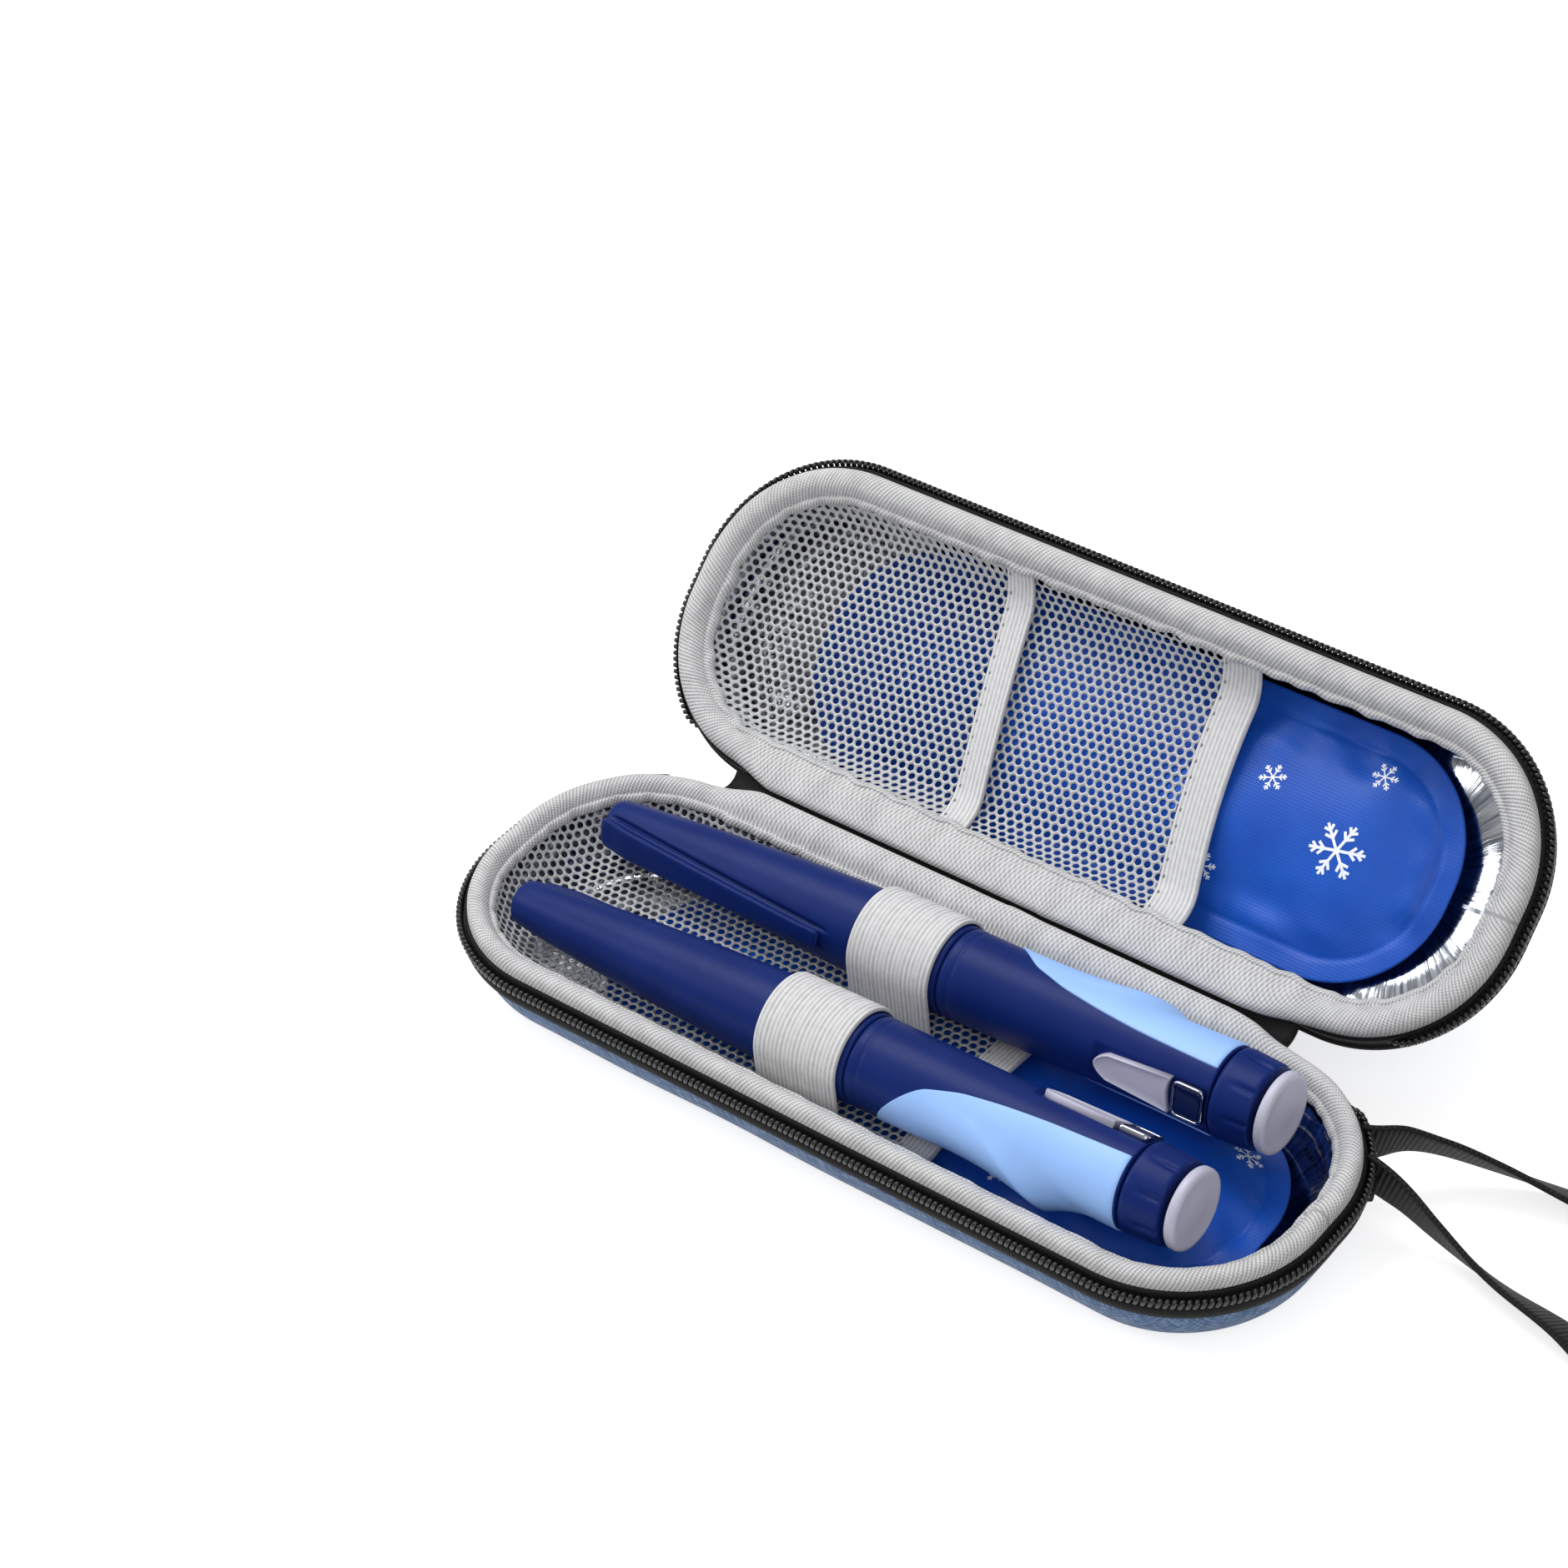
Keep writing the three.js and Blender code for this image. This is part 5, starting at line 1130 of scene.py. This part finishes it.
def pen_grip(side):
    """Grip: a leaf over the barrel, spreading from a pointed nose, with a thumb hump that ends in a cusp.

    The hump is a square up to its peak, a steeper one down, and its peak runs back round the sides."""
    rows, across, inner = 150, 96, 8.3
    s = GRIP_NOSE + GRIP_LENGTH * np.linspace(0, 1, rows) ** 1.7
    spread = smoothed(np.interp(s, *GRIP_SPREAD), 4)
    spread[0] = 0.5
    w = np.sin(np.linspace(-math.pi / 2, math.pi / 2, across))
    angle = np.radians(spread)[:, None] * w[None]
    peak = 136 - 17 * (np.abs(angle) / 1.4) ** 1.6
    rise = np.clip((s[:, None] - peak + 24) / 24, 0, 1) ** 2
    fall = np.clip((peak + 11 - s[:, None]) / 11, 0, 1) ** 2
    hump = 3.0 * np.where(s[:, None] < peak, rise, fall) * np.clip(np.cos(angle), 0, 1) ** 1.3
    face = np.polyval(BARREL_TAPER, s)[:, None] + 0.3 + hump
    rim = np.clip((np.abs(w)[None] - 0.985) / 0.015, 0, 1)
    ends = np.clip((s - 151.9) / 0.5, 0, 1)[:, None]
    face = face - 0.5 * rim**2 - 0.4 * ends**2
    radius = np.concatenate([face, np.full_like(face, inner)], 1)
    angle = np.concatenate([angle, angle[:, ::-1]], 1)
    x = np.broadcast_to(s[:, None], radius.shape)
    points = np.stack([x, radius * np.sin(angle), -radius * np.cos(angle)], -1)
    pen_piece(side, "grip_leaf", "grip", points, grid_faces(rows, 2 * across, False, True), SKY, "pen",
              "pen_grip", PENS[side]["badge"])


def plaque(outline, low, high, edge, dish_depth):
    """A plate with a rounded rim and a shallow dished face: the outline drawn in to its middle."""
    middle = outline.mean(0)
    reach = np.linalg.norm(outline - middle, axis=1).mean()
    inset = np.array([0, 0, 0.1, 0.3, 0.7, 1.1, 1.8]) * edge / reach
    share = np.concatenate([[1.0, 0.0], inset, [0.5, 0.8, 1.0]])
    rim = high - edge * np.array([1.0, 0.6, 0.25, 0.05, 0.0])
    face = high - dish_depth * np.array([0.5, 1.0, 1.0, 1.0, 1.0])
    z = np.concatenate([[low, low], rim, face])
    xy = outline[None] * (1 - share[:, None, None]) + middle * share[:, None, None]
    points = np.concatenate([xy, np.broadcast_to(z[:, None, None], xy.shape[:2] + (1,))], -1)
    return points, grid_faces(len(z), len(outline), False, True)


def rounded_box(start, end, half_width, corner=0.3, count=48):
    """Points round a rectangle with rounded corners: a superellipse."""
    turn = np.arange(count) * 2 * math.pi / count
    x = (start + end) / 2 + (end - start) / 2 * squared(np.cos(turn), corner)
    return np.stack([x, half_width * squared(np.sin(turn), corner)], -1)


def pen_trim(side):
    """Badge, window frame and lens on the barrel's flat.

    The badge has a bowed tail and a narrower pointed nose; the frame is a rounded bead about the window."""
    turn = PENS[side]["badge"]
    t = np.linspace(-1, 1, 17)
    tail = np.stack([144.7 - 0.8 * (1 - t**2), 3.9 * t], -1)
    nose = np.stack([128.6 + 1.4 * (t**2) - 1.6 * (1 - t**2) + 0.2, -2.8 * t], -1)
    points, faces = plaque(np.concatenate([tail, nose]), 7.6, 9.45, 0.5, 0.22)
    pen_piece(side, "badge_plate", "badge", points, faces, LILAC, "pen", "pen_lilac", turn)
    outer, inner = rounded_box(145.2, 152.2, 3.9), rounded_box(145.75, 151.65, 3.35)
    share = np.array([0, 0, 0.1, 0.5, 0.9, 1, 1])[:, None, None]
    height = np.array([7.7, 9.1, 9.4, 9.5, 9.4, 9.1, 7.7])[:, None, None]
    xy = outer[None] * (1 - share) + inner[None] * share
    points = np.concatenate([xy, np.broadcast_to(height, xy.shape[:2] + (1,))], -1)
    pen_piece(side, "window_frame", "window_bezel", points, grid_faces(len(share), len(outer), True, True),
              CHROME, "pen", "pen_chrome", turn)
    points, faces = plaque(rounded_box(145.9, 151.5, 3.2), 7.8, 9.35, 0.3, -0.05)
    pen_piece(side, "window_lens", "dose_window", points, faces, LENS, "pen", "pen_lens", turn)


def pen_knob(side):
    """Dose knob: a turned cap with eight shallow V grooves that fade towards the barrel."""
    around, grooves = 160, 8
    s, base = np.concatenate([KNOB_FOOT, np.linspace(*KNOB_SIDE, 24), KNOB_FACE]).T
    angle = np.arange(around) * 2 * math.pi / around
    near = np.abs((angle / (2 * math.pi) * grooves + 0.5) % 1 - 0.5) * 2 * math.pi / grooves * 9
    groove = np.clip(1 - near / 0.9, 0, 1)
    fade = ease((s - 154.5) / 5) * (base > 8)
    radius = base[:, None] - 0.55 * groove[None] * fade[:, None]
    pen_piece(side, "knob_cap", "dose_knob", turned(s, radius, around),
              grid_faces(len(s), around, False, True), NAVY, "dial", "pen_navy", PENS[side]["badge"])


def pen_button(side):
    """Push button: a turned disc with a rounded edge and a faintly dished top, on its stem."""
    around = 96
    s, radius = np.array(BUTTON, float).T
    pen_piece(side, "button_disc", "push_button", turned(s, radius, around),
              grid_faces(len(s), around, False, True), LILAC, "button", "pen_lilac")


def pen_loop(side):
    """Elastic loop: a corded band that arches over the pen and drops straight to the net on each side."""
    drop, samples, ribs = 13, 110, 7.5
    rise = np.linspace(-LOOP_DROP, 0, drop + 1)[:-1]
    turn = np.linspace(0, math.pi, 61)
    straight = np.ones(drop)
    out_y = np.concatenate([straight, np.cos(turn), -straight])
    out_z = np.concatenate([0 * straight, np.sin(turn), 0 * straight])
    y = LOOP_RADIUS * out_y
    z = LOOP_RADIUS * out_z + np.concatenate([rise, 0 * turn, rise[::-1]])
    w = np.linspace(-1, 1, samples)
    edge = np.clip((1 - np.abs(w)) / 0.04, 0, 1)
    thick = 0.15 + 0.5 * np.sqrt(edge) + 0.14 * np.abs(np.sin(math.pi * ribs * w)) * edge
    across = LOOP_LENGTH / 2 * np.concatenate([w, w[::-1]])
    high = np.concatenate([thick, np.zeros(samples)])
    centre = (LOOP_X - PEN_TIP_X) / math.cos(math.radians(PEN_TILT))
    local = np.stack(np.broadcast_arrays(
        across[None] + centre, y[:, None] + out_y[:, None] * high[None],
        z[:, None] + out_z[:, None] * high[None]), -1)
    run = section_lengths(np.stack([y, z], -1))
    uv = np.stack(np.broadcast_arrays(run[:, None], across[None]), -1)
    faces = grid_faces(len(y), 2 * samples, False, True)
    band = piece(f"{side}_pen_loop_band", pen_place(side, local, 0), faces, ELASTIC, None, "elastic_fabric",
                 uv=uv, replaces=[f"pen_loop_{side}"])
    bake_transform(band)


for side in PENS:
    pen_cap(side)
    pen_clip(side)
    pen_barrel(side)
    pen_grip(side)
    pen_trim(side)
    pen_knob(side)
    pen_button(side)
    pen_loop(side)


# Floor and light


def floor():
    """A plain pale floor that keeps the case's shadow and shows near white, also in mirrors."""
    made, tree = blank_material("pale_floor")
    rays = node(tree, "ShaderNodeLightPath").outputs
    direct = node(tree, "ShaderNodeMath", {
        0: rays["Is Camera Ray"], 1: rays["Is Glossy Ray"]}, operation="MAXIMUM").outputs[0]
    seen = node(tree, "ShaderNodeMath", {
        0: direct, 1: rays["Is Transmission Ray"]}, operation="MAXIMUM").outputs[0]
    glow = node(tree, "ShaderNodeMath", {0: seen, 1: 0.68}, operation="MULTIPLY").outputs[0]
    lit = node(tree, "ShaderNodeBsdfDiffuse", {"Color": linear("#d6d6d6")}).outputs[0]
    shine = node(tree, "ShaderNodeEmission", {"Color": (1, 1, 1, 1), "Strength": glow}).outputs[0]
    both = node(tree, "ShaderNodeAddShader", {0: lit, 1: shine}).outputs[0]
    node(tree, "ShaderNodeOutputMaterial", {"Surface": both})
    reach, steps = 4000, 9
    edge = np.linspace(-reach, reach, steps)
    x, y = np.meshgrid(edge, edge)
    low = cad_box[0][2] / MM - 0.02
    points = np.stack([x.ravel(), y.ravel(), 0 * x.ravel() + low], -1) * MM
    mesh = bpy.data.meshes.new("floor")
    mesh.from_pydata(points.tolist(), [], grid_faces(steps, steps)[:, ::-1].tolist())
    mesh.materials.append(made)
    obj = bpy.data.objects.new("floor", mesh)
    bpy.context.scene.collection.objects.link(obj)


def softbox(name, place, aim, size, watts):
    """A square soft box that faces its aim. Its place, aim and size are in metres."""
    light = bpy.data.lights.new(name, "AREA")
    light.size, light.energy = size, watts
    obj = bpy.data.objects.new(name, light)
    bpy.context.scene.collection.objects.link(obj)
    back = unit(np.asarray(place, float) - np.asarray(aim, float))
    right = unit(np.cross([0, 0, 1], back))
    turn = Matrix([right, np.cross(back, right), back]).transposed().to_4x4()
    obj.matrix_world = Matrix.Translation(place) @ turn


def studio():
    """A studio sky, bright overhead and dim at the horizon: soft shadows, and contrast in metal."""
    sky = bpy.data.worlds.new("studio")
    sky.use_nodes = True
    tree = sky.node_tree
    tree.nodes.clear()
    place = node(tree, "ShaderNodeTexCoord").outputs["Generated"]
    height = node(tree, "ShaderNodeSeparateXYZ", {0: place}).outputs["Z"]
    level = node(tree, "ShaderNodeMapRange", {"Value": height, "To Min": 0.16, "To Max": 0.78}).outputs[0]
    shade = node(tree, "ShaderNodeBackground", {"Color": (1, 1, 1, 1), "Strength": level})
    node(tree, "ShaderNodeOutputWorld", {"Surface": shade.outputs[0]})
    bpy.context.scene.world = sky


floor()
softbox("key_softbox", place=(-0.55, 0.15, 1.05), aim=(0, 0.02, 0), size=0.7, watts=9.0)
softbox("side_softbox", place=(-1.03, -0.48, 0.66), aim=(0, 0.05, 0.02), size=0.45, watts=3.2)
softbox("fill_softbox", place=(0.75, -0.7, 0.8), aim=(0, 0.02, 0), size=0.9, watts=4.0)
studio()
bpy.context.scene.view_settings.view_transform = "Standard"
